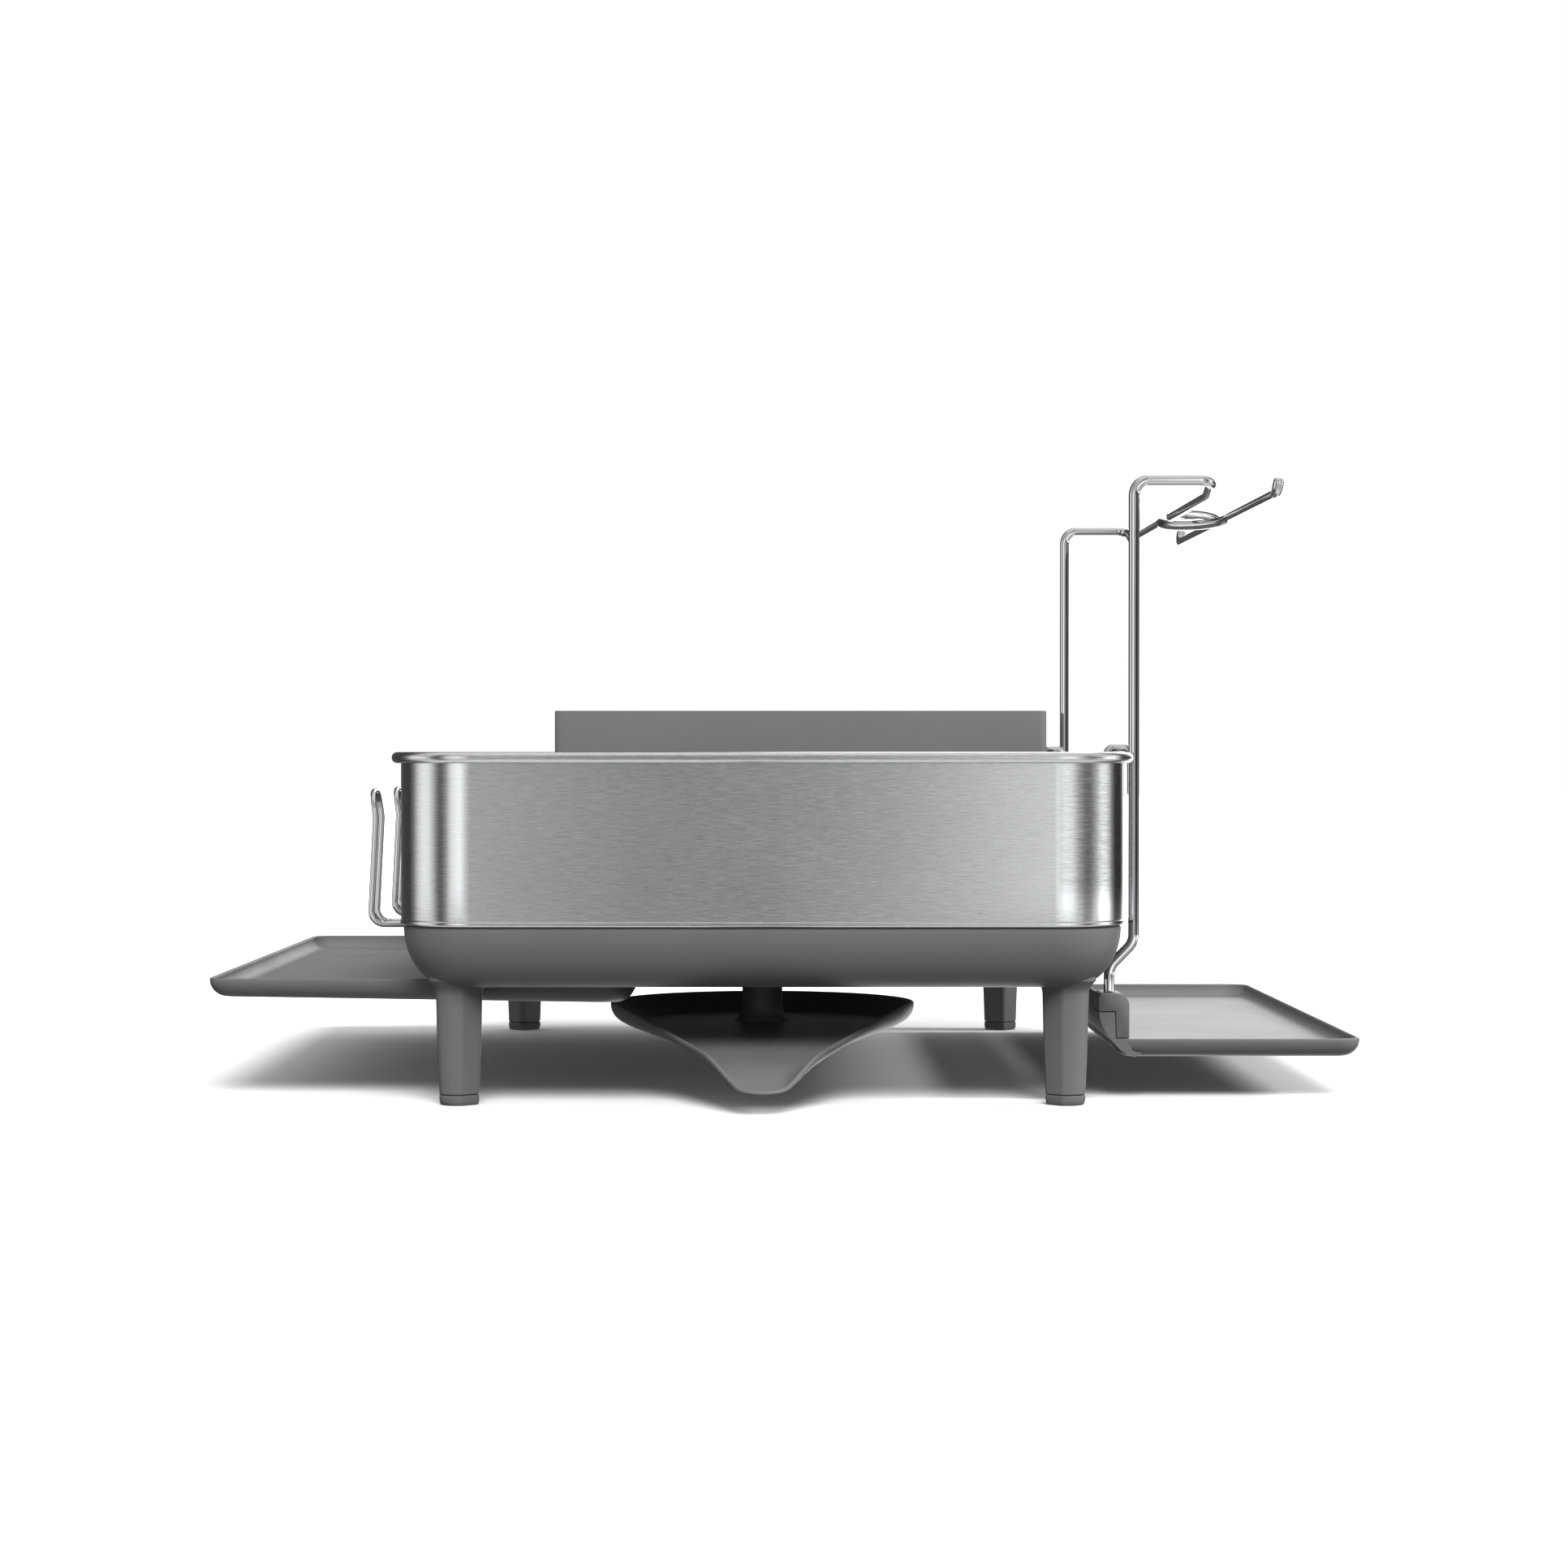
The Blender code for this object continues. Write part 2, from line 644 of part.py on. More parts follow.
# ------------------------------------------------------------------ cup tray
def cup_tray_underside(x):
    """The underside falls towards the tray's inner end."""
    part = (x - CUP_TRAY_OUTER_X) / (CUP_TRAY_INNER_X - CUP_TRAY_OUTER_X)
    return CUP_TRAY_UNDER_OUTER_Z + (CUP_TRAY_UNDER_INNER_Z - CUP_TRAY_UNDER_OUTER_Z) * part


def tray_loops(bounds, radii, rim_z, underside, skin):
    """Skin loops of a shallow tray whose walls curve under. underside is a height as a function of x."""
    depth = 0.0080
    outside = ((depth, 0.0), (0.0046, 0.10), (0.0020, 0.32), (0.0005, 0.60), (0.0, 0.90))
    inside = ((0.0019, 0.88), (0.0028, 0.50), (0.0048, 0.16), (depth, 0.0))

    def level(part, base_drop):
        def height(x):
            low = underside(x) + base_drop
            return low + part * (rim_z - low)

        return height

    loops = [inset_loop(bounds, radii, inset, level(part, 0.0), 5) for inset, part in outside]
    loops.append(inset_loop(bounds, radii, 0.0003, rim_z - 0.0002, 5))
    loops.append(inset_loop(bounds, radii, 0.0009, rim_z, 5))
    loops.append(inset_loop(bounds, radii, 0.0016, rim_z - 0.0003, 5))
    loops += [inset_loop(bounds, radii, inset, level(part, skin), 5) for inset, part in inside]
    return loops


def make_cup_tray(parent):
    """The tray under the cup hooks. A notch in its inner end clears the spout's neck."""
    bounds = (CUP_TRAY_OUTER_X, CUP_TRAY_INNER_X, -TRAY_HALF_Y, TRAY_HALF_Y)
    loops = tray_loops(bounds, (0.0180, 0.0115), CUP_TRAY_RIM_Z, cup_tray_underside, TRAY_SKIN)
    tray = loft("cup_tray", loops, "grey_plastic", parent)
    notch_half = BOSS_RADIUS + 0.0015
    notch_x = -BOSS_RADIUS - 0.0006 - CUP_TRAY_TRAVEL
    wall = box(
        "notch_wall_tool",
        (notch_x - TRAY_SKIN, DRAIN_Y - notch_half - TRAY_SKIN, 0.0460),
        (CUP_TRAY_INNER_X - 0.0040, DRAIN_Y + notch_half + TRAY_SKIN, CUP_TRAY_RIM_Z - 0.0006),
        None,
        parent,
    )
    notch = box(
        "notch_tool",
        (notch_x, DRAIN_Y - notch_half, 0.0400),
        (CUP_TRAY_INNER_X + 0.0100, DRAIN_Y + notch_half, CUP_TRAY_RIM_Z + 0.0050),
        None,
        parent,
    )
    boolean(tray, wall, "UNION")
    boolean(tray, notch, "DIFFERENCE")
    web_half = TRAY_HALF_Y - 0.0001
    tongue_z = (GROOVE_Z + GAP, POCKET_Z - 0.0006)
    for side in (-1, 1):
        outline = (
            (side * (TRAY_HALF_Y - 0.0014), CUP_TRAY_RIM_Z - 0.0030),
            (side * web_half, CUP_TRAY_RIM_Z - 0.0030),
            (side * web_half, tongue_z[0]),
            (side * (GROOVE_HALF_Y - 0.0005), tongue_z[0]),
            (side * (GROOVE_HALF_Y - 0.0005), tongue_z[1]),
            (side * (TRAY_HALF_Y - 0.0014), tongue_z[1]),
        )
        loops = [[(x, y, z) for y, z in outline] for x in (TONGUE_START_X, TONGUE_END_X)]
        tongue = loft(f"tongue_tool_{'near' if side < 0 else 'far'}", loops, None, parent)
        boolean(tray, tongue, "UNION")


# ------------------------------------------------------------------ wire plate rack
def make_plate_rack(parent):
    """A welded wire rack that stands on the basin's floor."""
    bounds = (-RACK_HALF_X, RACK_HALF_X, RACK_NEAR_Y, RACK_FAR_Y)
    frame = inset_loop(bounds, (RACK_CORNER,) * 2, 0.0, RACK_FRAME_Z, 5)
    wire("rack_frame", frame, RACK_WIRE, "chrome_wire", parent, cyclic=True)
    foot_top = RACK_FRAME_Z - RACK_WIRE - GAP
    foot = ((0.0052, RACK_FOOT_Z), (0.0058, RACK_FOOT_Z + 0.0006), (0.0046, foot_top))
    feet_y = (RACK_NEAR_Y + 0.0500, RACK_FAR_Y - 0.0500)
    for index in range(4):
        centre = ((1 if index % 2 else -1) * RACK_HALF_X, feet_y[index // 2])
        turned(f"rack_foot_{index + 1}", foot, "rubber", parent, centre, steps=16)
    rail_z = RACK_FRAME_Z + RACK_WIRE + GAP + RAIL_WIRE
    for name, side in (("left", -1), ("right", 1)):
        ends = [Vector((side * DIVIDER_HALF_X, y, rail_z)) for y in (RACK_NEAR_Y, RACK_FAR_Y)]
        wire(f"rack_rail_{name}", ends, RAIL_WIRE, "chrome_wire", parent)
    cross_z = rail_z - 2 * RAIL_WIRE - GAP
    cross_reach = RACK_HALF_X - RACK_WIRE - GAP
    for index in range(3):
        y = RACK_NEAR_Y + (RACK_FAR_Y - RACK_NEAR_Y) * (index + 1) / 4
        ends = [Vector((side * cross_reach, y, cross_z)) for side in (-1, 1)]
        wire(f"rack_cross_{index + 1}", ends, RAIL_WIRE, "chrome_wire", parent)
    divider_z = rail_z + RAIL_WIRE + GAP
    for index in range(DIVIDER_COUNT):
        y = DIVIDER_FIRST_Y + DIVIDER_PITCH * index
        corners = (
            ((-DIVIDER_HALF_X, y, divider_z), 0.0),
            ((-DIVIDER_HALF_X, y, DIVIDER_TOP_Z), DIVIDER_BEND),
            ((DIVIDER_HALF_X, y, DIVIDER_TOP_Z), DIVIDER_BEND),
            ((DIVIDER_HALF_X, y, divider_z), 0.0),
        )
        points = rounded_path(corners)
        wire(f"plate_divider_{index + 1:02d}", points, DIVIDER_WIRE, "chrome_wire", parent)


# ------------------------------------------------------------------ utensil caddy
def make_utensil_caddy(parent):
    """An open box on four feet, with two dividers that drop in and slots to let the water out."""
    bounds = (CADDY_LEFT_X, CADDY_RIGHT_X, CADDY_NEAR_Y, CADDY_FAR_Y)
    profile = (
        (0.0010, CADDY_FLOOR_Z),
        (0.0, CADDY_FLOOR_Z + 0.0010),
        (0.0, CADDY_TOP_Z - 0.0004),
        (0.0004, CADDY_TOP_Z),
        (CADDY_WALL - 0.0004, CADDY_TOP_Z),
        (CADDY_WALL, CADDY_TOP_Z - 0.0004),
        (CADDY_WALL, CADDY_FLOOR_Z + CADDY_WALL),
    )
    loops = [inset_loop(bounds, (CADDY_CORNER,) * 2, inset, z, 4) for inset, z in profile]
    caddy = loft("utensil_caddy", loops, "grey_plastic", parent)
    foot_half = 0.0045
    for index in range(4):
        x = (CADDY_RIGHT_X if index % 2 else CADDY_LEFT_X) + (-0.0200 if index % 2 else 0.0200)
        y = (CADDY_FAR_Y if index // 2 else CADDY_NEAR_Y) + (-0.0200 if index // 2 else 0.0200)
        foot = box(
            f"caddy_foot_tool_{index + 1}",
            (x - foot_half, y - foot_half, BASE_FLOOR_Z + GAP),
            (x + foot_half, y + foot_half, CADDY_FLOOR_Z + 0.0010),
            None,
            parent,
        )
        boolean(caddy, foot, "UNION")
    cell = (CADDY_RIGHT_X - CADDY_LEFT_X - 2 * CADDY_WALL) / CADDY_CELLS
    for column in range(CADDY_CELLS):
        middle = CADDY_LEFT_X + CADDY_WALL + cell * (column + 0.5)
        for row in range(3):
            y = (CADDY_NEAR_Y + CADDY_FAR_Y) / 2 + 0.0200 * (row - 1)
            slot = box(
                f"slot_cutter_{column + 1}_{row + 1}",
                (middle - 0.0220, y - 0.0022, CADDY_FLOOR_Z - 0.0020),
                (middle + 0.0220, y + 0.0022, CADDY_FLOOR_Z + CADDY_WALL + 0.0020),
                None,
                parent,
            )
            boolean(caddy, slot, "DIFFERENCE")
    for index in range(1, CADDY_CELLS):
        x = CADDY_LEFT_X + CADDY_WALL + cell * index
        box(
            f"caddy_divider_{index}",
            (x - 0.0009, CADDY_NEAR_Y + CADDY_WALL + GAP, CADDY_FLOOR_Z + CADDY_WALL + GAP),
            (x + 0.0009, CADDY_FAR_Y - CADDY_WALL - GAP, CADDY_TOP_Z - 0.0120),
            "grey_plastic",
            parent,
        )


# ------------------------------------------------------------------ wine glass holder
def crossing(side):
    """The wire's run across the middle, bowed up on the near wire and down on the far one."""
    points = []
    for step in range(9):
        part = step / 8
        swing = (1 - math.cos(math.pi * part)) / 2
        x = RAIL_X + (PRONG_X - RAIL_X) * swing
        y = side * CROSS_HALF_Y * (1 - 2 * part)
        z = RAIL_Z - side * CROSS_LIFT * math.sin(math.pi * part)
        points.append(Vector((x, y, z)))
    return points


def make_holder_wires(parent):
    """Each wire runs from its clip up to an arm, back along a rail, across the middle and out to a tip."""
    for name, side in (("near", -1), ("far", 1)):
        y = side * HOLDER_Y
        rise = (
            ((HOLDER_FOOT_X, y, CLIP_SOCKET_Z + GAP), 0.0),
            ((HOLDER_FOOT_X, y, 0.0575), 0.0100),
            ((HOLDER_WAIST_X, y, 0.0725), 0.0120),
            ((HOLDER_TOP_X, y, HOLDER_TOP_Z), 0.0070),
            ((RAIL_X, y, HOLDER_TOP_Z), 0.0070),
            ((RAIL_X, y - side * 0.0190, RAIL_Z), 0.0200),
            ((RAIL_X, side * (CROSS_HALF_Y + 0.0040), RAIL_Z), 0.0),
        )
        tip = (
            ((PRONG_X, -side * (CROSS_HALF_Y + 0.0040), RAIL_Z), 0.0),
            ((PRONG_X, -y, RAIL_Z), 0.0045),
            ((PRONG_X + 0.0010, -y - side * 0.0022, RAIL_Z + TIP_RISE), 0.0),
        )
        points = rounded_path(rise) + crossing(side) + rounded_path(tip)
        wire(f"holder_wire_{name}", points, HOLDER_WIRE, "chrome_wire", parent)
        hanger_y = y - side * HANGER_SIDE_STEP
        over_z = RIM_TOP_Z + GAP + HANGER_WIRE
        hanger = (
            ((HANGER_OUTER_X, hanger_y, 0.1380), 0.0),
            ((HANGER_OUTER_X, hanger_y, over_z), 0.0034),
            ((HANGER_INNER_X, hanger_y, over_z), 0.0034),
            ((HANGER_INNER_X, hanger_y, 0.1544), 0.0),
        )
        points = rounded_path(hanger)
        wire(f"rim_hanger_{name}", points, HANGER_WIRE, "chrome_wire", parent)


def glass_wall_outline():
    """Side view of the tray's raised inner wall, from its top round the outside and back up the inside."""
    outside = ((0.1534, CLIP_SEAM_Z - GAP), (0.1544, 0.0350), (0.1570, 0.0298), (0.1612, 0.0246))
    under = ((0.1656, 0.0207), (0.1700, GLASS_TRAY_UNDER_Z))
    inside = ((0.1730, 0.0212), (0.1690, 0.0221), (0.1625, 0.0262), (0.1588, 0.0300))
    top = ((0.1568, 0.0362), (0.1560, CLIP_SEAM_Z - GAP))
    return outside + under + inside + top


def make_glass_tray(parent):
    """The drip tray under the glasses, whose inner wall rises to the two clips on the holder's wires."""
    bounds = (GLASS_TRAY_INNER_X, GLASS_TRAY_OUTER_X, -TRAY_HALF_Y, TRAY_HALF_Y)

    def underside(_x):
        return GLASS_TRAY_UNDER_Z

    loops = tray_loops(bounds, (0.0110, 0.0090), GLASS_TRAY_RIM_Z, underside, TRAY_SKIN)
    tray = loft("glass_tray", loops, "grey_plastic", parent)
    wall_y = TRAY_HALF_Y - 0.0002
    wall = extruded("glass_wall_tool", glass_wall_outline(), -wall_y, wall_y, None, parent)
    boolean(tray, wall, "UNION")
    clear_y = TRAY_HALF_Y - CLIP_LENGTH - 2 * GAP
    ridge = (
        (0.1534, CLIP_SEAM_Z - 0.0010),
        (0.1560, CLIP_SEAM_Z - 0.0010),
        (0.1560, GLASS_WALL_TOP_Z - 0.0008),
        (0.1553, GLASS_WALL_TOP_Z),
        (0.1541, GLASS_WALL_TOP_Z),
        (0.1534, GLASS_WALL_TOP_Z - 0.0008),
    )
    ridge_tool = extruded("glass_ridge_tool", ridge, -clear_y, clear_y, None, parent)
    boolean(tray, ridge_tool, "UNION")
    block = (
        (0.1536, CLIP_SEAM_Z - GAP),
        (0.1546, 0.0350),
        (0.1614, 0.0246),
        (0.1665, 0.0207),
        (0.1690, 0.0207),
        (CLIP_RIGHT_X, CLIP_STEP_Z - GAP),
        (CLIP_STEP_X - GAP, CLIP_STEP_Z - GAP),
        (CLIP_STEP_X - 0.0006, CLIP_SEAM_Z - GAP),
    )
    for name, side in (("near", -1), ("far", 1)):
        ends = sorted((side * (wall_y - CLIP_LENGTH), side * (wall_y - 0.0001)))
        block_tool = extruded(f"clip_block_tool_{name}", block, *ends, None, parent)
        boolean(tray, block_tool, "UNION")
        make_tray_clip(name, side, parent)


def make_tray_clip(name, side, parent):
    """The clip over the tray's inner wall, with a socket for the end of the holder's wire."""
    outline = [(CLIP_LEFT_X + 0.0002, CLIP_SEAM_Z)]
    for corner_x, radius, start in ((CLIP_LEFT_X, 0.0025, math.pi), (CLIP_RIGHT_X, 0.0055, math.pi / 2)):
        centre_x = corner_x + radius if start > 2 else corner_x - radius
        for step in range(6):
            angle = start - math.pi / 2 * step / 5
            place_x = centre_x + radius * math.cos(angle)
            outline.append((place_x, CLIP_TOP_Z - radius + radius * math.sin(angle)))
    outline.append((CLIP_RIGHT_X, CLIP_STEP_Z))
    outline.append((CLIP_STEP_X, CLIP_STEP_Z))
    outline.append((CLIP_STEP_X - 0.0003, CLIP_SEAM_Z))
    ends = sorted((side * TRAY_HALF_Y, side * (TRAY_HALF_Y - CLIP_LENGTH)))
    clip = extruded(f"tray_clip_{name}", outline, *ends, "grey_plastic", parent)
    socket = turned(
        f"socket_cutter_{name}",
        ((HOLDER_WIRE + GAP, CLIP_SOCKET_Z), (HOLDER_WIRE + GAP, CLIP_TOP_Z + 0.0050)),
        None,
        parent,
        (HOLDER_FOOT_X, side * HOLDER_Y),
        steps=16,
    )
    boolean(clip, socket, "DIFFERENCE")


# ------------------------------------------------------------------ assembly
def main():
    rack = empty("rack_centre", (RACK_CENTRE_X, RACK_CENTRE_Y, 0.0))
    spout_axis = empty("spout_axis", (0.0, DRAIN_Y, 0.0), rack)
    make_steel_band(rack)
    make_drip_base(rack)
    make_foot_pads(rack)
    make_band_screws(rack)
    make_cup_hooks(rack)
    make_spout(spout_axis)
    make_cup_tray(rack)
    make_plate_rack(rack)
    make_utensil_caddy(rack)
    make_holder_wires(rack)
    make_glass_tray(rack)


main()
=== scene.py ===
"""Looks of the dish drying rack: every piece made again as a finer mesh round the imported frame.

Metres, +Z up. Shapes are in the rack's own coordinates, centred on the steel band in plan.
"""

import math

import bmesh
import bpy
from mathutils import Matrix, Vector


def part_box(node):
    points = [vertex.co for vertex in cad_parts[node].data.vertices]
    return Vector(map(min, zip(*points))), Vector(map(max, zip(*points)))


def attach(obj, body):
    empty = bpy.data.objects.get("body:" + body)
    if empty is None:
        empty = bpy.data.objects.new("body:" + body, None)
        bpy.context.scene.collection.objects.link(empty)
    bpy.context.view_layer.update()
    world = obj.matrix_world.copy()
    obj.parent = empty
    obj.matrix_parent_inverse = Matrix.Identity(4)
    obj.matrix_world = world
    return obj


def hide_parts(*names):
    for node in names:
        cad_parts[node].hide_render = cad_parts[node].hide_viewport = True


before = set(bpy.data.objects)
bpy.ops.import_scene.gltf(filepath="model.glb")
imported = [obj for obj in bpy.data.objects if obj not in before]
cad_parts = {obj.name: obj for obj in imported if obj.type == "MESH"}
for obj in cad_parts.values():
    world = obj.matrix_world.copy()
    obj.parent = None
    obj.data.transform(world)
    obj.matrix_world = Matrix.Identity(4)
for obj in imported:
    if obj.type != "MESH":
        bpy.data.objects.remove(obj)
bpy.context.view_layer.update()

# ---- places taken from the frame
BAND_LOW, BAND_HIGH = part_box("steel_band")
CENTRE = Vector(((BAND_LOW.x + BAND_HIGH.x) / 2, (BAND_LOW.y + BAND_HIGH.y) / 2, 0.0))


def extent(node):
    """A node's lowest and highest corner, in the rack's own coordinates."""
    low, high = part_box(node)
    return low - CENTRE, high - CENTRE


# ---- dimensions, metres
GAP = 0.0003  # between pieces that touch
EDGE = 0.0003  # how far a small edge is eased
CUT_PAST = 0.0100  # how far a cutting tool runs past what it cuts
LEAST_RADIUS = 0.0008  # of a rounded corner

RIM_OVERHANG = 0.0042
BEAD_RADIUS = 0.0025
BEAD_START_DEGREES = 312  # where the rolled rim leaves the flank
BAND_HALF_X = (BAND_HIGH - CENTRE).x - RIM_OVERHANG
BAND_HALF_Y = (BAND_HIGH - CENTRE).y - RIM_OVERHANG
BAND_CORNER = 0.0336
BAND_WALL = 0.0010
BAND_BOTTOM_Z = BAND_LOW.z
RIM_TOP_Z = BAND_HIGH.z
HEM_HEIGHT = 0.0022
HEM_PROUD = 0.00035

BASE_INSET = 0.0012
BASE_TOP_Z = 0.0803
BASE_BOTTOM_Z = 0.0532
BASE_TUCK = 0.0210  # how far the flank curves in from top to bottom
BASE_WALL = 0.0027
BASE_FLOOR_Z = 0.0610
LIP_TOP_Z = extent("drip_base")[1].z
LIP_INSET = 0.0007
FILLET_WIDTH = 0.0030  # where the basin's wall meets its floor
FILLET_HEIGHT = 0.0018

LEG_X = 0.1355
LEG_Y = 0.2140
LEG_HALF_TOP = 0.0110
LEG_HALF_MIDDLE = 0.0105
LEG_HALF_FOOT = 0.0095
LEG_TOP_Z = 0.0500
LEG_MIDDLE_Z = 0.0300
LEG_FLARE = 0.0030  # where it meets the basin
LEG_FLAT = 0.14  # of the half width: how far past the middle a leg's flat outer faces reach
LEG_OUTER_CORNER = 0.0080
LEG_EDGE = 0.0028
PAD_HEIGHT = extent("foot_pad_1")[1].z

DRAIN_Y = (extent("spout_washer")[0].y + extent("spout_washer")[1].y) / 2
DRAIN_HOLE_RADIUS = 0.0103
DRAIN_FUNNEL_RADIUS = 0.0460
DRAIN_FUNNEL_Z = 0.0596
COLLAR_RECESS_RADIUS = 0.0150
COLLAR_RECESS_Z = 0.0580
BOSS_RADIUS = 0.0125

SCREW_STEPS = 48
SCREW_HEAD = 0.0018
SOCKET_RADIUS = 0.0014
SOCKET_DEPTH = 0.0010

SPOUT_RADIUS = 0.0720
SPOUT_LIP_RADIUS = 0.0140
SPOUT_REACH = DRAIN_Y - extent("swivel_spout")[0].y
SPOUT_RIM_Z = 0.0403
SPOUT_FLOOR_Z = 0.0310
SPOUT_WALL = 0.0018
SPOUT_UNDER_INSET = 0.0115  # of the floor's edge, below and above
SPOUT_UPPER_INSET = 0.0105
SPOUT_EDGE = (  # (inset, drop) over the top of the rim
    (0.0, 0.0011), (0.0001, 0.0005), (0.0004, 0.00012),
    (0.0009, 0.0), (0.0014, 0.00015), (0.0017, 0.0006),
)
# How the rim and the floor fall towards the lip: the height round the disc, how far from the axis
# the slope starts, the slope, the dip in the lip, and how far out the dip starts and ends.
SPOUT_RIM_FALL = (SPOUT_RIM_Z, 0.0250, 0.178, 0.0077, 0.1060, SPOUT_REACH)
SPOUT_FLOOR_FALL = (SPOUT_FLOOR_Z, 0.0160, 0.080, 0.0101, 0.0700, SPOUT_REACH + 0.0050)
NECK_RADIUS = 0.0095
NECK_FLARE_RADIUS = 0.0140
NECK_BORE = 0.0070
NECK_TOP_Z = extent("swivel_spout")[1].z
WINDOW_HALF_X = 0.0045  # of the opening in the neck
WINDOW_Y = (0.0020, 0.0180)  # behind the axis
WINDOW_Z = (0.0322, 0.0420)

CUP_TRAY_OUTER_X, CUP_TRAY_INNER_X = (corner.x for corner in extent("cup_tray"))
TRAY_HALF_Y = extent("glass_tray")[1].y
CUP_TRAY_RIM_Z = 0.0550
CUP_TRAY_UNDER_OUTER_Z = 0.0465
CUP_TRAY_UNDER_INNER_Z = extent("cup_tray")[0].z
CUP_TRAY_TRAVEL = 0.0900
TRAY_SKIN = 0.0020
TRAY_CURVE = 0.0080
TRAY_WALL = 0.0019
TRAY_RIM = (  # (inset, drop) over the top of the rim
    (0.0001, 0.0004), (0.0004, 0.0001), (0.0009, 0.0), (0.0014, 0.0001), (0.0017, 0.0004),
)
TONGUE_START_X = -0.1407
TONGUE_END_X = -0.0800
POCKET_Z = 0.0572
POCKET_END_X = 0.0420
POCKET_HALF_Y = 0.1930
GROOVE_HALF_Y = 0.1962
GROOVE_Z = 0.0549
RELIEF_START_X = 0.0480
RELIEF_END_X = BAND_HALF_X - BASE_TUCK - 0.0100
RELIEF_Z = 0.0582

HOOK_WIRE = 0.0015
HOOK_CENTRES_Y = (-0.1530, -0.0510, 0.0510, 0.1530)
HOOK_HALF_WIDTH = 0.0120
HOOK_Z = 0.0786
HOOK_ROOT_X = -0.1815
HOOK_LEAN_X = -0.1791
HOOK_LEAN_Z = 0.1280
HOOK_TIP_X = -0.1807
HOOK_TOP_Z = 0.1398
HOOK_INNER_X = -0.1515
HOOK_BAR_X = -0.1540
HOOK_BAR_Z = 0.0748
HOOK_BAR_WIRE = 0.0020

HOLDER_WIRE = 0.0025
HOLDER_Y = 0.1840
HOLDER_FOOT_X = 0.1588
HOLDER_WAIST_X = 0.1700
BEND_LOW_Z = 0.0598
BEND_HIGH_Z = 0.0712
BEND_RADIUS = 0.0090
HOLDER_TOP_X = 0.1703
HOLDER_TOP_Z = extent("holder_wire_near")[1].z - HOLDER_WIRE
HOLDER_BEND = 0.0070
RAIL_X = 0.2063
RAIL_Z = 0.2771
RAIL_RUN = 0.0190  # from the arm to the rail's bend
RAIL_BEND = 0.0200
PRONG_X = 0.2355
PRONG_BEND = 0.0045
CROSS_HALF_Y = 0.0220
CROSS_END_Y = 0.0260
CROSS_LIFT = 0.0027
TIP_OUT = 0.0010
TIP_RUN = 0.0022
TIP_RISE = 0.0069
HANGER_WIRE = 0.00175
HANGER_SIDE_STEP = 0.0046
HANGER_BEND = 0.0034
HANGER_OUTER_X = 0.1692
HANGER_OUTER_Z = 0.1380
HANGER_INNER_X = 0.15825
HANGER_INNER_Z = 0.1544

GLASS_TRAY_OUTER_X = extent("glass_tray")[1].x
GLASS_TRAY_INNER_X = 0.1600
GLASS_TRAY_RIM_Z = 0.0276
GLASS_TRAY_UNDER_Z = extent("glass_tray")[0].z
GLASS_WALL_TOP_Z = extent("glass_tray")[1].z
GLASS_WALL_X = (0.1534, 0.1560)  # its two faces at the top
CLIP_LENGTH = 0.0240
CLIP_LEFT_X, CLIP_RIGHT_X = (corner.x for corner in extent("tray_clip_near"))
CLIP_STEP_Z, CLIP_TOP_Z = (corner.z for corner in extent("tray_clip_near"))
CLIP_SEAM_Z = 0.0400
CLIP_STEP_X = 0.1614
CLIP_SOCKET_Z = 0.0414
CLIP_LEFT_RADIUS = 0.0025
CLIP_RIGHT_RADIUS = 0.0055

RACK_LOW, RACK_HIGH = extent("rack_frame")
RACK_WIRE = 0.0025
RACK_HALF_X = RACK_HIGH.x - RACK_WIRE
RACK_NEAR_Y = RACK_LOW.y + RACK_WIRE
RACK_FAR_Y = RACK_HIGH.y - RACK_WIRE
RACK_FRAME_Z = (RACK_LOW.z + RACK_HIGH.z) / 2
RACK_CORNER = 0.0260
RAIL_WELD = (0.0024, 0.0010)  # radius and half height
CROSS_WELD = (0.0022, 0.0009)
CROSS_END_WELD = (0.0016, 0.0022)
DIVIDER_WELD = (0.0021, 0.0010)
RAIL_WIRE = 0.0020
DIVIDER_HALF_X = 0.0240
DIVIDER_WIRE = 0.0015
DIVIDER_COUNT = 10
DIVIDER_FIRST_Y = -0.1500
DIVIDER_PITCH = 0.0265
DIVIDER_TOP_Z = 0.1420
DIVIDER_BEND = 0.0200

CADDY_LOW, CADDY_HIGH = extent("utensil_caddy")
CADDY_FLOOR_Z = 0.0720
CADDY_WALL = 0.0022
CADDY_CORNER = 0.0040
CADDY_CELLS = 3
CADDY_FOOT_HALF = 0.0045
CADDY_FOOT_INSET = 0.0200
CADDY_SLOT_HALF = (0.0220, 0.0022)
CADDY_SLOT_PITCH = 0.0200

# ---- camera and light
CAMERA_PLACE = Vector((0.0, -1.7800, 0.1566))  # in the rack's own coordinates
CAMERA_LENS = 80.0
CAMERA_SHIFT = (0.0138, -0.0180)
LIGHTS = {  # name: (direction towards the light, degrees across, strength)
    "key": ((0.12, -0.90, 0.82), 30.0, 3.5),
    "side": ((1.00, -0.05, 0.56), 16.0, 2.6),
}
FILL_ABOVE = 0.80  # light on matt surfaces from overhead, from the horizon and from below
FILL_LEVEL = 0.35
FILL_BELOW = 0.10
FLOOR_HALF = 12.0

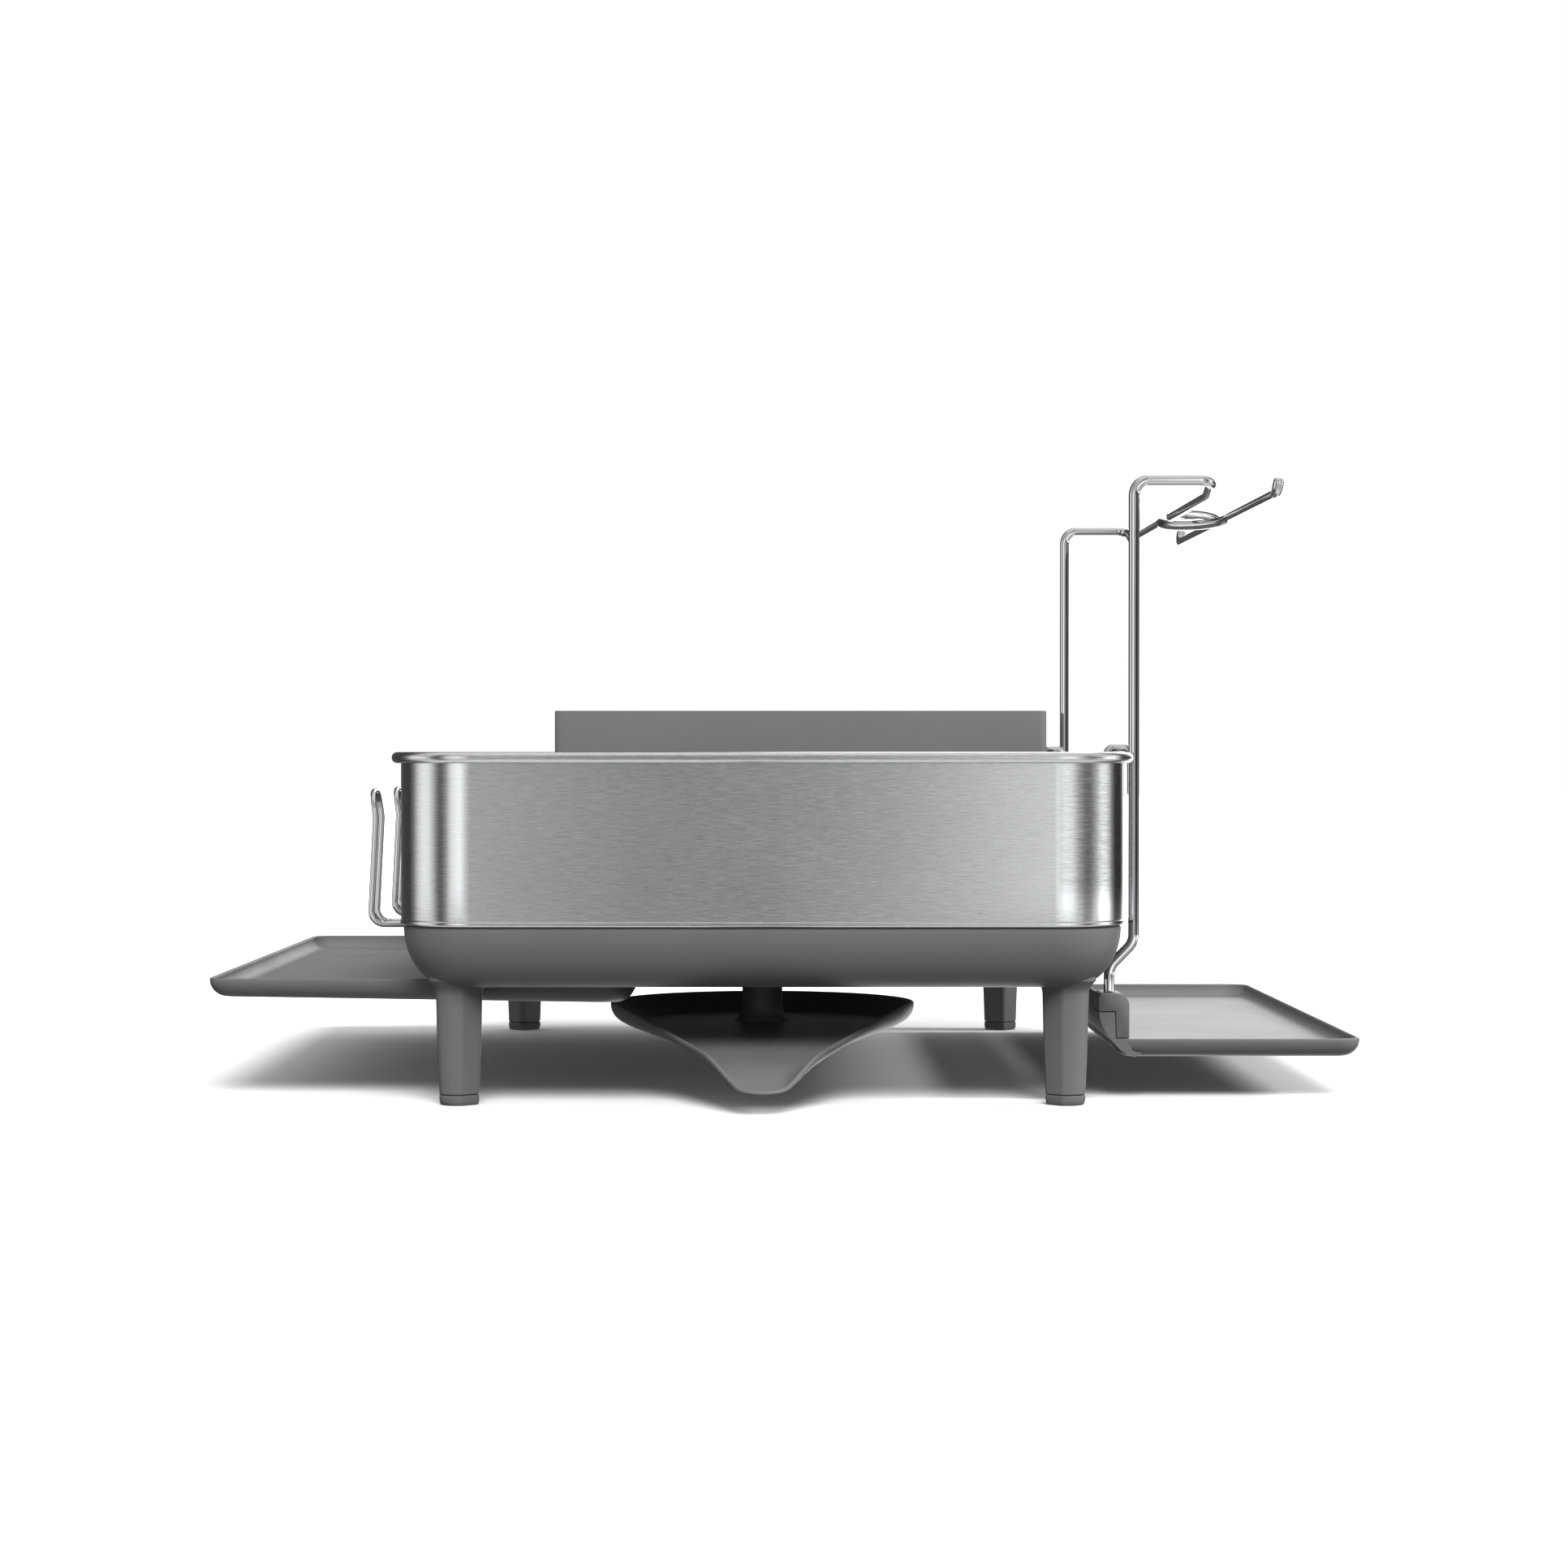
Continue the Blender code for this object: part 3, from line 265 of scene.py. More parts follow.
# Brightness of the studio that polished metal mirrors, by degrees round from behind the camera.
STUDIO = (
    (-180, 0.10), (-118, 0.05), (-106, 0.25), (-96, 0.90), (-86, 1.35), (-74, 1.35), (-65, 0.70),
    (-57, 0.15), (-50, 0.10), (-42, 0.40), (-34, 1.30), (-20, 1.80), (-12, 0.90), (-6, 0.50),
    (-3, 0.32), (0, 0.24), (2, 0.34), (5, 0.70), (11, 2.30), (20, 3.60), (32, 3.10), (42, 1.20),
    (54, 0.40), (64, 0.40), (75, 1.60), (85, 4.20), (98, 3.80), (108, 1.00), (118, 0.10),
    (144, 0.20), (152, 2.80), (180, 2.80),
)

STRIP_LIMIT = 0.75  # of the studio's brightness away from the horizon
RIGHT_SHADE = 0.94  # taken off the strips on the right, level with the horizon


# ---- materials
class Nodes:
    """Short ways to add nodes to a tree."""

    def __init__(self, tree):
        self.tree = tree

    def fill(self, socket, value):
        """Gives an input a value, or links an output to it."""
        if isinstance(value, bpy.types.NodeSocket):
            self.tree.links.new(value, socket)
        else:
            socket.default_value = value

    def node(self, kind, inputs=None, **settings):
        made = self.tree.nodes.new(kind)
        for key, value in settings.items():
            setattr(made, key, value)
        for socket, value in (inputs or {}).items():
            self.fill(made.inputs[socket], value)
        return made

    def calc(self, operation, *values):
        return self.node("ShaderNodeMath", dict(enumerate(values)), operation=operation).outputs[0]

    def spread(self, value, low, high, start=0.3, end=0.7, kind="LINEAR"):
        """Maps start..end onto low..high."""
        inputs = {"Value": value, "From Min": start, "From Max": end, "To Min": low, "To Max": high}
        return self.node("ShaderNodeMapRange", inputs, interpolation_type=kind).outputs["Result"]

    def smooth(self, value, start, end):
        """0 at start and 1 at end, with soft ends."""
        return self.spread(value, 0.0, 1.0, start, end, "SMOOTHSTEP")

    def blend(self, share, first, second, kind="FLOAT"):
        inputs = {"Factor": share, "A": first, "B": second}
        return self.node("ShaderNodeMix", inputs, data_type=kind).outputs["Result"]


class Shader(Nodes):
    """A new material with one Principled shader."""

    def __init__(self, name, colour, roughness, metallic):
        self.material = bpy.data.materials.new(name)
        self.material.use_nodes = True
        super().__init__(self.material.node_tree)
        self.principled = self.tree.nodes["Principled BSDF"]
        self.colour = colour
        self.put("Base Color", (*colour, 1.0))
        self.put("Roughness", roughness)
        self.put("Metallic", metallic)
        self.place = self.node("ShaderNodeTexCoord").outputs["Object"]

    def put(self, socket, value):
        self.fill(self.principled.inputs[socket], value)

    def noise(self, scale, stretch=(1.0, 1.0, 1.0), detail=3.0):
        """Noise in the piece's own coordinates. scale is in cells per metre."""
        mapped = self.node("ShaderNodeMapping", {"Vector": self.place, "Scale": stretch})
        inputs = {"Vector": mapped.outputs["Vector"], "Scale": scale, "Detail": detail}
        return self.node("ShaderNodeTexNoise", inputs).outputs["Fac"]

    def tint(self, output, dark, light):
        """Varies the base colour between dark and light times itself."""
        ends = [(*(channel * factor for channel in self.colour), 1.0) for factor in (dark, light)]
        self.put("Base Color", self.blend(output, *ends, kind="RGBA"))

    def bump(self, height, distance, strength, below=None):
        """Bump from a height. below is another bump's output to lie on."""
        inputs = {"Distance": distance, "Strength": strength, "Height": height}
        if below is not None:
            inputs["Normal"] = below
        return self.node("ShaderNodeBump", inputs).outputs["Normal"]


def brushed_steel():
    """Steel brushed round the band: long fine scratches, smudged a little."""
    steel = Shader("brushed_steel", (0.618, 0.634, 0.645), 0.30, 1.0)
    steel.put("Anisotropic", 0.75)
    steel.put("Anisotropic Rotation", 0.25)
    tangent = steel.node("ShaderNodeTangent", direction_type="RADIAL", axis="Z")
    steel.put("Tangent", tangent.outputs["Tangent"])
    long_grain = steel.spread(steel.noise(130.0, (1.0, 1.0, 40.0), detail=1.0), 0.0, 0.6)
    short_grain = steel.spread(steel.noise(380.0, (1.0, 1.0, 18.0), detail=1.0), 0.0, 0.4)
    smudge = steel.spread(steel.noise(14.0, detail=2.0), -0.02, 0.02)
    grain = steel.calc("ADD", long_grain, short_grain)
    steel.tint(grain, 0.82, 1.15)
    steel.put("Roughness", steel.calc("ADD", steel.spread(grain, 0.18, 0.26, 0.0, 1.0), smudge))
    steel.put("Normal", steel.bump(grain, 0.000005, 0.5))
    return steel.material


def grey_plastic():
    """Moulded grey plastic with a fine spark-eroded texture."""
    plastic = Shader("grey_plastic", (0.130, 0.132, 0.135), 0.50, 0.0)
    plastic.put("Specular IOR Level", 0.34)
    speckle = plastic.noise(2600.0, detail=2.0)
    cloud = plastic.noise(22.0)
    shares = plastic.spread(speckle, 0.0, 0.6), plastic.spread(cloud, 0.0, 0.4)
    plastic.tint(plastic.calc("ADD", *shares), 0.92, 1.07)
    rough = plastic.spread(speckle, 0.44, 0.54), plastic.spread(cloud, -0.03, 0.03)
    plastic.put("Roughness", plastic.calc("ADD", *rough))
    ripple = plastic.bump(cloud, 0.00008, 0.4)
    plastic.put("Normal", plastic.bump(speckle, 0.00006, 0.5, ripple))
    return plastic.material


def chrome_wire():
    """Bright plated wire with fine draw marks."""
    chrome = Shader("chrome_wire", (0.600, 0.608, 0.615), 0.07, 1.0)
    marks = chrome.noise(900.0)
    cloud = chrome.noise(45.0)
    chrome.tint(cloud, 0.94, 1.03)
    rough = chrome.spread(marks, 0.045, 0.070), chrome.spread(cloud, -0.015, 0.020)
    chrome.put("Roughness", chrome.calc("ADD", *rough))
    chrome.put("Normal", chrome.bump(marks, 0.000003, 0.25))
    return chrome.material


def rubber():
    soft = Shader("rubber", (0.125, 0.127, 0.130), 0.75, 0.0)
    soft.put("Specular IOR Level", 0.35)
    grain = soft.noise(1800.0)
    soft.tint(soft.noise(160.0, detail=4.0), 0.85, 1.25)
    soft.put("Roughness", soft.spread(grain, 0.68, 0.82))
    soft.put("Normal", soft.bump(grain, 0.00008, 0.5))
    return soft.material


def screw_steel():
    steel = Shader("screw_steel", (0.560, 0.565, 0.570), 0.25, 1.0)
    marks = steel.noise(1500.0, detail=2.0)
    steel.tint(marks, 0.85, 1.1)
    steel.put("Roughness", steel.spread(marks, 0.20, 0.34))
    steel.put("Normal", steel.bump(marks, 0.00002, 0.4))
    return steel.material


MATERIALS = {
    "steel": brushed_steel(),
    "plastic": grey_plastic(),
    "wire": chrome_wire(),
    "rubber": rubber(),
    "screw": screw_steel(),
}


# ---- shape helpers
def add_object(name, data):
    made = bpy.data.objects.new(name, data)
    bpy.context.scene.collection.objects.link(made)
    return made


def link_piece(name, data):
    """Adds an object whose data is in the rack's own coordinates."""
    made = add_object(name, data)
    made.location = CENTRE
    return made


def shade(mesh, sharp_degrees=32):
    mesh.shade_smooth()
    mesh.set_sharp_from_angle(angle=math.radians(sharp_degrees))


def mesh_piece(name, work, sharp_degrees=32):
    bmesh.ops.recalc_face_normals(work, faces=work.faces)
    mesh = bpy.data.meshes.new(name)
    work.to_mesh(mesh)
    work.free()
    shade(mesh, sharp_degrees)
    return link_piece(name, mesh)


def add_loft(work, loops, ring=False):
    """Skins loops of equal count, with the two ends capped, or joined where ring is set."""
    rows = [[work.verts.new(point) for point in loop] for loop in loops]
    pairs = list(zip(rows, rows[1:]))
    if ring:
        pairs.append((rows[-1], rows[0]))
    else:
        work.faces.new(rows[0])
        work.faces.new(rows[-1])
    for first, second in pairs:
        for index, corner in enumerate(first):
            after = (index + 1) % len(first)
            work.faces.new((corner, first[after], second[after], second[index]))


def loft(name, loops, ring=False, sharp_degrees=32):
    work = bmesh.new()
    add_loft(work, loops, ring)
    return mesh_piece(name, work, sharp_degrees)


def box(name, low, high):
    corners = [(low[0], low[1]), (high[0], low[1]), (high[0], high[1]), (low[0], high[1])]
    return loft(name, [[(x, y, z) for x, y in corners] for z in (low[2], high[2])])


def circle(radius, z, centre=(0.0, 0.0), steps=64):
    turns = [2 * math.pi * step / steps for step in range(steps)]
    return [(centre[0] + radius * math.cos(a), centre[1] + radius * math.sin(a), z) for a in turns]


def turned(name, profile, centre=(0.0, 0.0), ring=False, steps=64):
    """A turned piece from (radius, z) points."""
    return loft(name, [circle(radius, z, centre, steps) for radius, z in profile], ring)


def arc(centre, radius, start, end, steps):
    """Points of an arc in a plane, from start to end degrees."""
    angles = [math.radians(start + (end - start) * step / steps) for step in range(steps + 1)]
    return [(centre[0] + radius * math.cos(a), centre[1] + radius * math.sin(a)) for a in angles]


def quarter(steps):
    """(1 - cosine, sine) of the angles from 0 to 90 degrees."""
    angles = [math.pi / 2 * step / steps for step in range(steps + 1)]
    return [(1 - math.cos(angle), math.sin(angle)) for angle in angles]


def rounded_outline(bounds, radii, steps):
    """Plan outline of a rectangle. radii are of its corners on the high and on the low X side."""
    low_x, high_x, low_y, high_y = bounds
    points = []
    for corner, (side_x, side_y) in enumerate(((1, 1), (-1, 1), (-1, -1), (1, -1))):
        radius = radii[0] if side_x > 0 else radii[1]
        centre_x = high_x - radius if side_x > 0 else low_x + radius
        centre_y = high_y - radius if side_y > 0 else low_y + radius
        points += arc((centre_x, centre_y), radius, 90 * corner, 90 * corner + 90, steps)
    return points


def bend(before, corner, after, radius, steps=None):
    """The arc that rounds a corner, in steps of up to 5 degrees unless their number is given."""
    here = Vector(corner)
    back = (Vector(before) - here).normalized()
    ahead = (Vector(after) - here).normalized()
    opening = back.angle(ahead)
    centre = here + (back + ahead).normalized() * radius / math.sin(opening / 2)
    first = here + back * radius / math.tan(opening / 2) - centre
    turn = math.pi - opening
    axis = back.cross(ahead).normalized()
    steps = steps or max(3, math.ceil(turn / math.radians(5)))
    turns = [Matrix.Rotation(-turn * step / steps, 3, axis) for step in range(steps + 1)]
    return [centre + rotation @ first for rotation in turns]


def bends(corners, steps=None):
    """The arcs at all but the first and the last of the (point, radius) corners."""
    points = []
    for (before, _), (corner, radius), (after, _) in zip(corners, corners[1:], corners[2:]):
        points += bend(before, corner, after, radius, steps)
    return points


def rounded_path(corners):
    """Points of a path from (point, bend radius) pairs."""
    return [Vector(corners[0][0]), *bends(corners), Vector(corners[-1][0])]


def staple(ends, top_z, radius):
    """A path from one end straight up, across at top_z and down to the other end."""
    first, last = [(end, 0.0) for end in ends]
    return rounded_path([first, *(((x, y, top_z), radius) for x, y, _ in ends), last])


def inset_loop(bounds, radii, inset, z, steps):
    """A rounded outline drawn in by inset, at height z, which may be a function of x."""
    low_x, high_x, low_y, high_y = bounds
    smaller = [max(radius - inset, LEAST_RADIUS) for radius in radii]
    drawn_in = (low_x + inset, high_x - inset, low_y + inset, high_y - inset)
    height = z if callable(z) else lambda x: z
    return [(x, y, height(x)) for x, y in rounded_outline(drawn_in, smaller, steps)]


def extruded(name, outline_xz, low_y, high_y):
    """A side outline of (x, z) points, extruded along Y."""
    return loft(name, [[(x, y, z) for x, z in outline_xz] for y in (low_y, high_y)])


def smooth_line(points, steps):
    """A smooth line through points, with steps places between each two."""
    ends = [points[0], *points, points[-1]]
    made = []
    for corners in zip(ends, ends[1:], ends[2:], ends[3:]):
        for step in range(steps):
            t = step / steps
            weights = (
                (2 * t * t - t * t * t - t) / 2,
                (3 * t * t * t - 5 * t * t + 2) / 2,
                (t + 4 * t * t - 3 * t * t * t) / 2,
                (t * t * t - t * t) / 2,
            )
            made.append([sum(w * c for w, c in zip(weights, axis)) for axis in zip(*corners)])
    return made + [points[-1]]


def bake(piece):
    """Replaces a piece's mesh by what its modifiers make of it, and drops them."""
    bpy.context.view_layer.update()
    graph = bpy.context.evaluated_depsgraph_get()
    made = bpy.data.meshes.new_from_object(piece.evaluated_get(graph))
    piece.modifiers.clear()
    piece.data = made


def combine(piece, tools, operation="DIFFERENCE"):
    """Cuts the tools from a piece or joins them to it, and removes them."""
    for tool in tools:
        modifier = piece.modifiers.new(tool.name, "BOOLEAN")
        modifier.operation = operation
        modifier.object = tool
        modifier.solver = "EXACT"
    bake(piece)
    for tool in tools:
        bpy.data.objects.remove(tool, do_unlink=True)
    shade(piece.data)


def soften(piece, width, segments=3, degrees=40):
    """Rounds the edges that are sharper than degrees."""
    modifier = piece.modifiers.new("soft_edges", "BEVEL")
    modifier.width = width
    modifier.segments = segments
    modifier.limit_method = "ANGLE"
    modifier.angle_limit = math.radians(degrees)
    modifier.harden_normals = True
    bake(piece)
    shade(piece.data, 45)
    return piece


def wire(name, points, radius, cyclic=False):
    """A round wire along the points, with domed ends where it is open."""
    places = [(Vector(point), 1.0) for point in points]
    for _ in range(0 if cyclic else 2):
        places.reverse()
        tip = places.pop()[0]
        inward = (places[-1][0] - tip).normalized()
        for back, along in quarter(6):
            places.append((tip + inward * radius * (1 - along), max(1 - back, 0.03)))
    curve = bpy.data.curves.new(name, "CURVE")
    curve.dimensions = "3D"
    curve.bevel_depth = radius
    curve.bevel_resolution = 8
    curve.use_fill_caps = not cyclic
    spline = curve.splines.new("POLY")
    spline.points.add(len(places) - 1)
    for spot, (point, share) in zip(spline.points, places):
        spot.co = (*point, 1.0)
        spot.radius = share
    spline.use_cyclic_u = cyclic
    spline.use_smooth = True
    return link_piece(name, curve)


def place(piece, body, slot, *nodes):
    """Finishes a piece in a slot's material, lets it ride on a body and stand for CAD nodes."""
    piece.data.materials.clear()
    piece.data.materials.append(MATERIALS[slot])
    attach(piece, body)
    if nodes:
        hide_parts(*nodes)


def place_wire(node, points, radius, body, cyclic=False):
    """Makes the wire that stands for a CAD node."""
    place(wire(f"{node}_fine", points, radius, cyclic), body, "wire", node)


# ---- frame: band, base, feet, screws
def make_band():
    """The steel ring, with a rolled bead at the rim and a rounded hem below."""
    bounds = (-BAND_HALF_X, BAND_HALF_X, -BAND_HALF_Y, BAND_HALF_Y)
    hem_half = HEM_HEIGHT / 2
    profile = [(BAND_WALL, BAND_BOTTOM_Z + 0.0002), (BAND_WALL - EDGE, BAND_BOTTOM_Z)]
    for step in range(9):
        angle = math.radians(-80 + 160 * step / 8)
        proud = HEM_PROUD * (1.6 * math.cos(angle) - 0.6)
        profile.append((-proud, BAND_BOTTOM_Z + hem_half + hem_half * math.sin(angle)))
    flank_z = BAND_BOTTOM_Z + HEM_HEIGHT + 0.0004
    flank_height = RIM_TOP_Z - BEAD_RADIUS - 0.0019 - flank_z
    profile += [(0.0, flank_z + flank_height * step / 4) for step in range(5)]
    bead = (BEAD_RADIUS - RIM_OVERHANG, RIM_TOP_Z - BEAD_RADIUS)
    profile += arc(bead, BEAD_RADIUS, BEAD_START_DEGREES, 0, 26)
    profile.append((BAND_WALL, RIM_TOP_Z - BEAD_RADIUS - 0.0012))
    loops = [inset_loop(bounds, (BAND_CORNER,) * 2, inset, z, 28) for inset, z in profile]
    place(loft("steel_band_fine", loops, ring=True), "frame", "steel", "steel_band")


def flank_inset(z):
    """How far the base's flank is tucked in at height z."""
    drop = min(1.0, (BASE_TOP_Z - z) / (BASE_TOP_Z - BASE_BOTTOM_Z))
    return BASE_TUCK * (1 - math.sqrt(1 - drop * drop))


def square_loop(centre, half, z, radius):
    bounds = (centre[0] - half, centre[0] + half, centre[1] - half, centre[1] + half)
    return inset_loop(bounds, (radius, radius), 0.0, z, 8)


def leg_loop(centre, half, z):
    """Plan of a leg: a square, its outer corner rounded and its other three corners cut across."""
    kept = LEG_FLAT * half
    plan = (
        ((half, half, z), LEG_OUTER_CORNER),
        ((-kept, half, z), LEG_EDGE),
        ((-half, kept, z), LEG_EDGE),
        ((kept, -half, z), LEG_EDGE),
        ((half, -kept, z), LEG_EDGE),
    )
    side_x = math.copysign(1, centre[0])
    side_y = math.copysign(1, centre[1])
    outline = bends((plan[-1], *plan, plan[0]), 8)
    return [(centre[0] + side_x * u, centre[1] + side_y * v, z) for u, v, _ in outline]


def corners_of_frame():
    return [(side_x * LEG_X, side_y * LEG_Y) for side_y in (-1, 1) for side_x in (-1, 1)]


def base_shell():
    """The basin before its legs are joined and its pocket is cut."""
    half_x = BAND_HALF_X - BASE_INSET
    half_y = BAND_HALF_Y - BASE_INSET
    depth = BASE_TOP_Z - BASE_BOTTOM_Z
    profile = [(BASE_TUCK * back, BASE_TOP_Z - depth * down) for back, down in quarter(22)[:0:-1]]
    profile += [(0.00002, BASE_TOP_Z - 0.0006), (0.00015, BASE_TOP_Z - 0.0002)]
    profile += [(0.00045, BASE_TOP_Z), (LIP_INSET, BASE_TOP_Z)]
    profile += [(LIP_INSET, LIP_TOP_Z), (BASE_WALL, LIP_TOP_Z)]
    wall_height = BASE_TOP_Z - BASE_FLOOR_Z - FILLET_HEIGHT
    for step in range(10):
        z = BASE_TOP_Z - wall_height * step / 9
        profile.append((BASE_WALL + flank_inset(z), z))
    inset, z = profile[-1]
    for back, down in quarter(5)[1:]:
        profile.append((inset + FILLET_WIDTH * back, z - FILLET_HEIGHT * down))
    bounds = (-half_x, half_x, -half_y, half_y)
    radii = (BAND_CORNER - BASE_INSET,) * 2
    return loft("drip_base_fine", [inset_loop(bounds, radii, *point, 22) for point in profile])


def leg_tool(centre):
    """A leg with a small flare where it meets the basin."""
    foot_z = PAD_HEIGHT + GAP
    sections = [(LEG_HALF_FOOT - 0.0004, foot_z), (LEG_HALF_FOOT, foot_z + 0.0004)]
    sections += [(LEG_HALF_MIDDLE, LEG_MIDDLE_Z), (LEG_HALF_TOP, LEG_TOP_Z)]
    for part in (step / 6 for step in range(1, 7)):
        half = LEG_HALF_TOP + LEG_FLARE * part * part
        sections.append((half, LEG_TOP_Z + 2 * LEG_FLARE * part))
    sections.append((LEG_HALF_TOP + LEG_FLARE, BASE_FLOOR_Z - 0.0020))
    return loft("leg_tool", [leg_loop(centre, half, z) for half, z in sections])


def pocket_tools():
    """The pocket under the base for the cup tray, its side grooves and a relief behind it."""
    below_z = BASE_BOTTOM_Z - CUT_PAST
    groove_end_x = TONGUE_END_X + CUP_TRAY_TRAVEL + 0.0050
    spans = {  # low x, high x, half y, low z, high z
        "pocket": (-BAND_HALF_X - CUT_PAST, POCKET_END_X, POCKET_HALF_Y, below_z, POCKET_Z),
        "groove": (TONGUE_START_X - GAP, groove_end_x, GROOVE_HALF_Y, GROOVE_Z, POCKET_Z - 0.00005),
        "relief": (RELIEF_START_X, RELIEF_END_X, POCKET_HALF_Y, below_z, RELIEF_Z),
    }
    return [
        box(f"{name}_tool", (low_x, -half_y, low_z), (high_x, half_y, high_z))
        for name, (low_x, high_x, half_y, low_z, high_z) in spans.items()
    ]


def drain_tool():
    """The drain's hole, the recess for the collar and the shallow funnel round it."""
    profile = [(DRAIN_HOLE_RADIUS, BASE_BOTTOM_Z - CUT_PAST), (DRAIN_HOLE_RADIUS, COLLAR_RECESS_Z)]
    profile += [(COLLAR_RECESS_RADIUS, COLLAR_RECESS_Z), (COLLAR_RECESS_RADIUS, DRAIN_FUNNEL_Z)]
    rise = BASE_FLOOR_Z + 0.0001 - DRAIN_FUNNEL_Z
    for step in range(1, 9):
        part = step / 8
        radius = COLLAR_RECESS_RADIUS + (DRAIN_FUNNEL_RADIUS - COLLAR_RECESS_RADIUS) * part
        profile.append((radius, DRAIN_FUNNEL_Z + rise * part * part))
    profile.append((DRAIN_FUNNEL_RADIUS, BASE_FLOOR_Z + CUT_PAST))
    return turned("drain_tool", profile, (0.0, DRAIN_Y))


def notch_tools():
    """Notches in the base's edge for the cup hooks' wires."""
    edge_x = -(BAND_HALF_X - BASE_INSET)
    half = HOOK_WIRE + GAP
    made = []
    for centre_y in HOOK_CENTRES_Y:
        for y in (centre_y - HOOK_HALF_WIDTH, centre_y + HOOK_HALF_WIDTH):
            low = (edge_x - CUT_PAST, y - half, HOOK_Z - half)
            high = (edge_x + 0.0060, y + half, BASE_TOP_Z + 0.0006)
            made.append(box("notch_tool", low, high))
    return made


def make_base():
    base = base_shell()
    combine(base, [leg_tool(centre) for centre in corners_of_frame()], "UNION")
    combine(base, pocket_tools())
    boss_profile = ((BOSS_RADIUS, BASE_BOTTOM_Z), (BOSS_RADIUS, POCKET_Z + 0.0010))
    combine(base, [turned("boss_tool", boss_profile, (0.0, DRAIN_Y))], "UNION")
    combine(base, [drain_tool(), *notch_tools()])
    place(base, "frame", "plastic", "drip_base")


def make_foot_pads():
    profile = [(0.0012, 0.0), (0.0006, 0.0003), (0.0003, 0.0009), (0.0, 0.0022)]
    profile += [(0.0, PAD_HEIGHT - EDGE), (EDGE, PAD_HEIGHT)]
    for index, centre in enumerate(corners_of_frame()):
        name = f"foot_pad_{index + 1}"
        loops = [leg_loop(centre, LEG_HALF_FOOT - inset, z) for inset, z in profile]
        place(loft(f"{name}_fine", loops), "frame", "rubber", name)


def hexagon(radius, z, steps):
    """A hexagon's outline as a loop of steps points."""
    points = []
    for step in range(steps):
        angle = 2 * math.pi * step / steps
        reach = radius / math.cos((angle % (math.pi / 3)) - math.pi / 6)
        points.append((reach * math.cos(angle), reach * math.sin(angle), z))
    return points


def make_screws():
    """Four pan-head screws with a hexagon socket, through the base's lip."""
    head = [(0.0016, 0.0), (0.0026, 0.00015), (0.0029, 0.0006), (0.0030, 0.0012), (0.0029, 0.0016)]
    head += [(0.0026, SCREW_HEAD), (0.0019, SCREW_HEAD)]
    rings = [circle(radius, z, steps=SCREW_STEPS) for radius, z in head]
    for z in (SCREW_HEAD, SCREW_HEAD - SOCKET_DEPTH):
        rings.append(hexagon(SOCKET_RADIUS, z, SCREW_STEPS))
    for index in range(4):
        name = f"band_screw_{index + 1}"
        low, high = extent(name)
        inward = -1 if low.x > 0 else 1
        seat_x = high.x if inward < 0 else low.x
        middle = (low + high) / 2
        turn = Matrix.Rotation(inward * math.pi / 2, 4, "Y")
        move = Matrix.Translation((seat_x, middle.y, middle.z)) @ turn
        screw = loft(f"{name}_fine", [[move @ Vector(point) for point in ring] for ring in rings])
        place(screw, "frame", "screw", name)


def make_cup_hooks():
    """Four wire loops that come out through the base's edge and stand up over the cup tray."""
    rise = (  # x, z and the bend's radius
        (HOOK_INNER_X, HOOK_Z, 0.0),
        (HOOK_ROOT_X, HOOK_Z, 0.0060),
        (HOOK_LEAN_X, HOOK_LEAN_Z, 0.0100),
        (HOOK_TIP_X, HOOK_TOP_Z, 0.0085),
    )
    for index, centre_y in enumerate(HOOK_CENTRES_Y):
        ys = (centre_y - HOOK_HALF_WIDTH, centre_y + HOOK_HALF_WIDTH)
        up, down = [[((x, y, z), radius) for x, z, radius in rise] for y in ys]
        place_wire(f"cup_hook_{index + 1}", rounded_path(up + down[::-1]), HOOK_WIRE, "frame")
    ends = [(HOOK_BAR_X, corner.y, HOOK_BAR_Z) for corner in extent("cup_hook_bar")]
    place_wire("cup_hook_bar", ends, HOOK_BAR_WIRE, "frame")


# ---- swivel spout
def spout_outline(inset):
    """Plan of the spout's edge about its axis: a disc and a lip circle, joined by tangents."""
    lip_centre = SPOUT_REACH - SPOUT_LIP_RADIUS
    tangent = math.degrees(math.acos((SPOUT_RADIUS - SPOUT_LIP_RADIUS) / lip_centre))
    disc = arc((0.0, 0.0), SPOUT_RADIUS - inset, -90 + tangent, 270 - tangent, 80)
    lip = arc((0.0, -lip_centre), SPOUT_LIP_RADIUS - inset, -90 - tangent, -90 + tangent, 24)

    def between(start, end):
        parts = [step / 20 for step in range(1, 20)]
        return [tuple(a + (b - a) * part for a, b in zip(start, end)) for part in parts]

    return disc + between(disc[-1], lip[0]) + lip + between(lip[-1], disc[0])


def spout_height(y, fall):
    """Height of the rim or the floor: level round the disc, sloping along the sides, dipping."""
    level, slope_start, slope, dip, dip_start, dip_end = fall
    part = min(1.0, max(0.0, (-y - dip_start) / (dip_end - dip_start)))
    return level - slope * max(0.0, -y - slope_start) - dip * part * part * (3 - 2 * part)


def spout_loop(inset, climb, drop):
    """An edge loop drawn in by inset, climb of the way from floor to rim, lowered by drop."""
    points = []
    for x, y in spout_outline(inset):
        floor = spout_height(y, SPOUT_FLOOR_FALL)
        rim = max(spout_height(y, SPOUT_RIM_FALL), floor + 0.0004)
        points.append((x, y, floor + climb * (rim - floor) - drop))
    return points


def onto_circle(loop, radius):
    """A loop's points in plan, each moved onto a circle about the axis."""
    return [tuple(Vector(point[:2]).normalized() * radius) for point in loop]


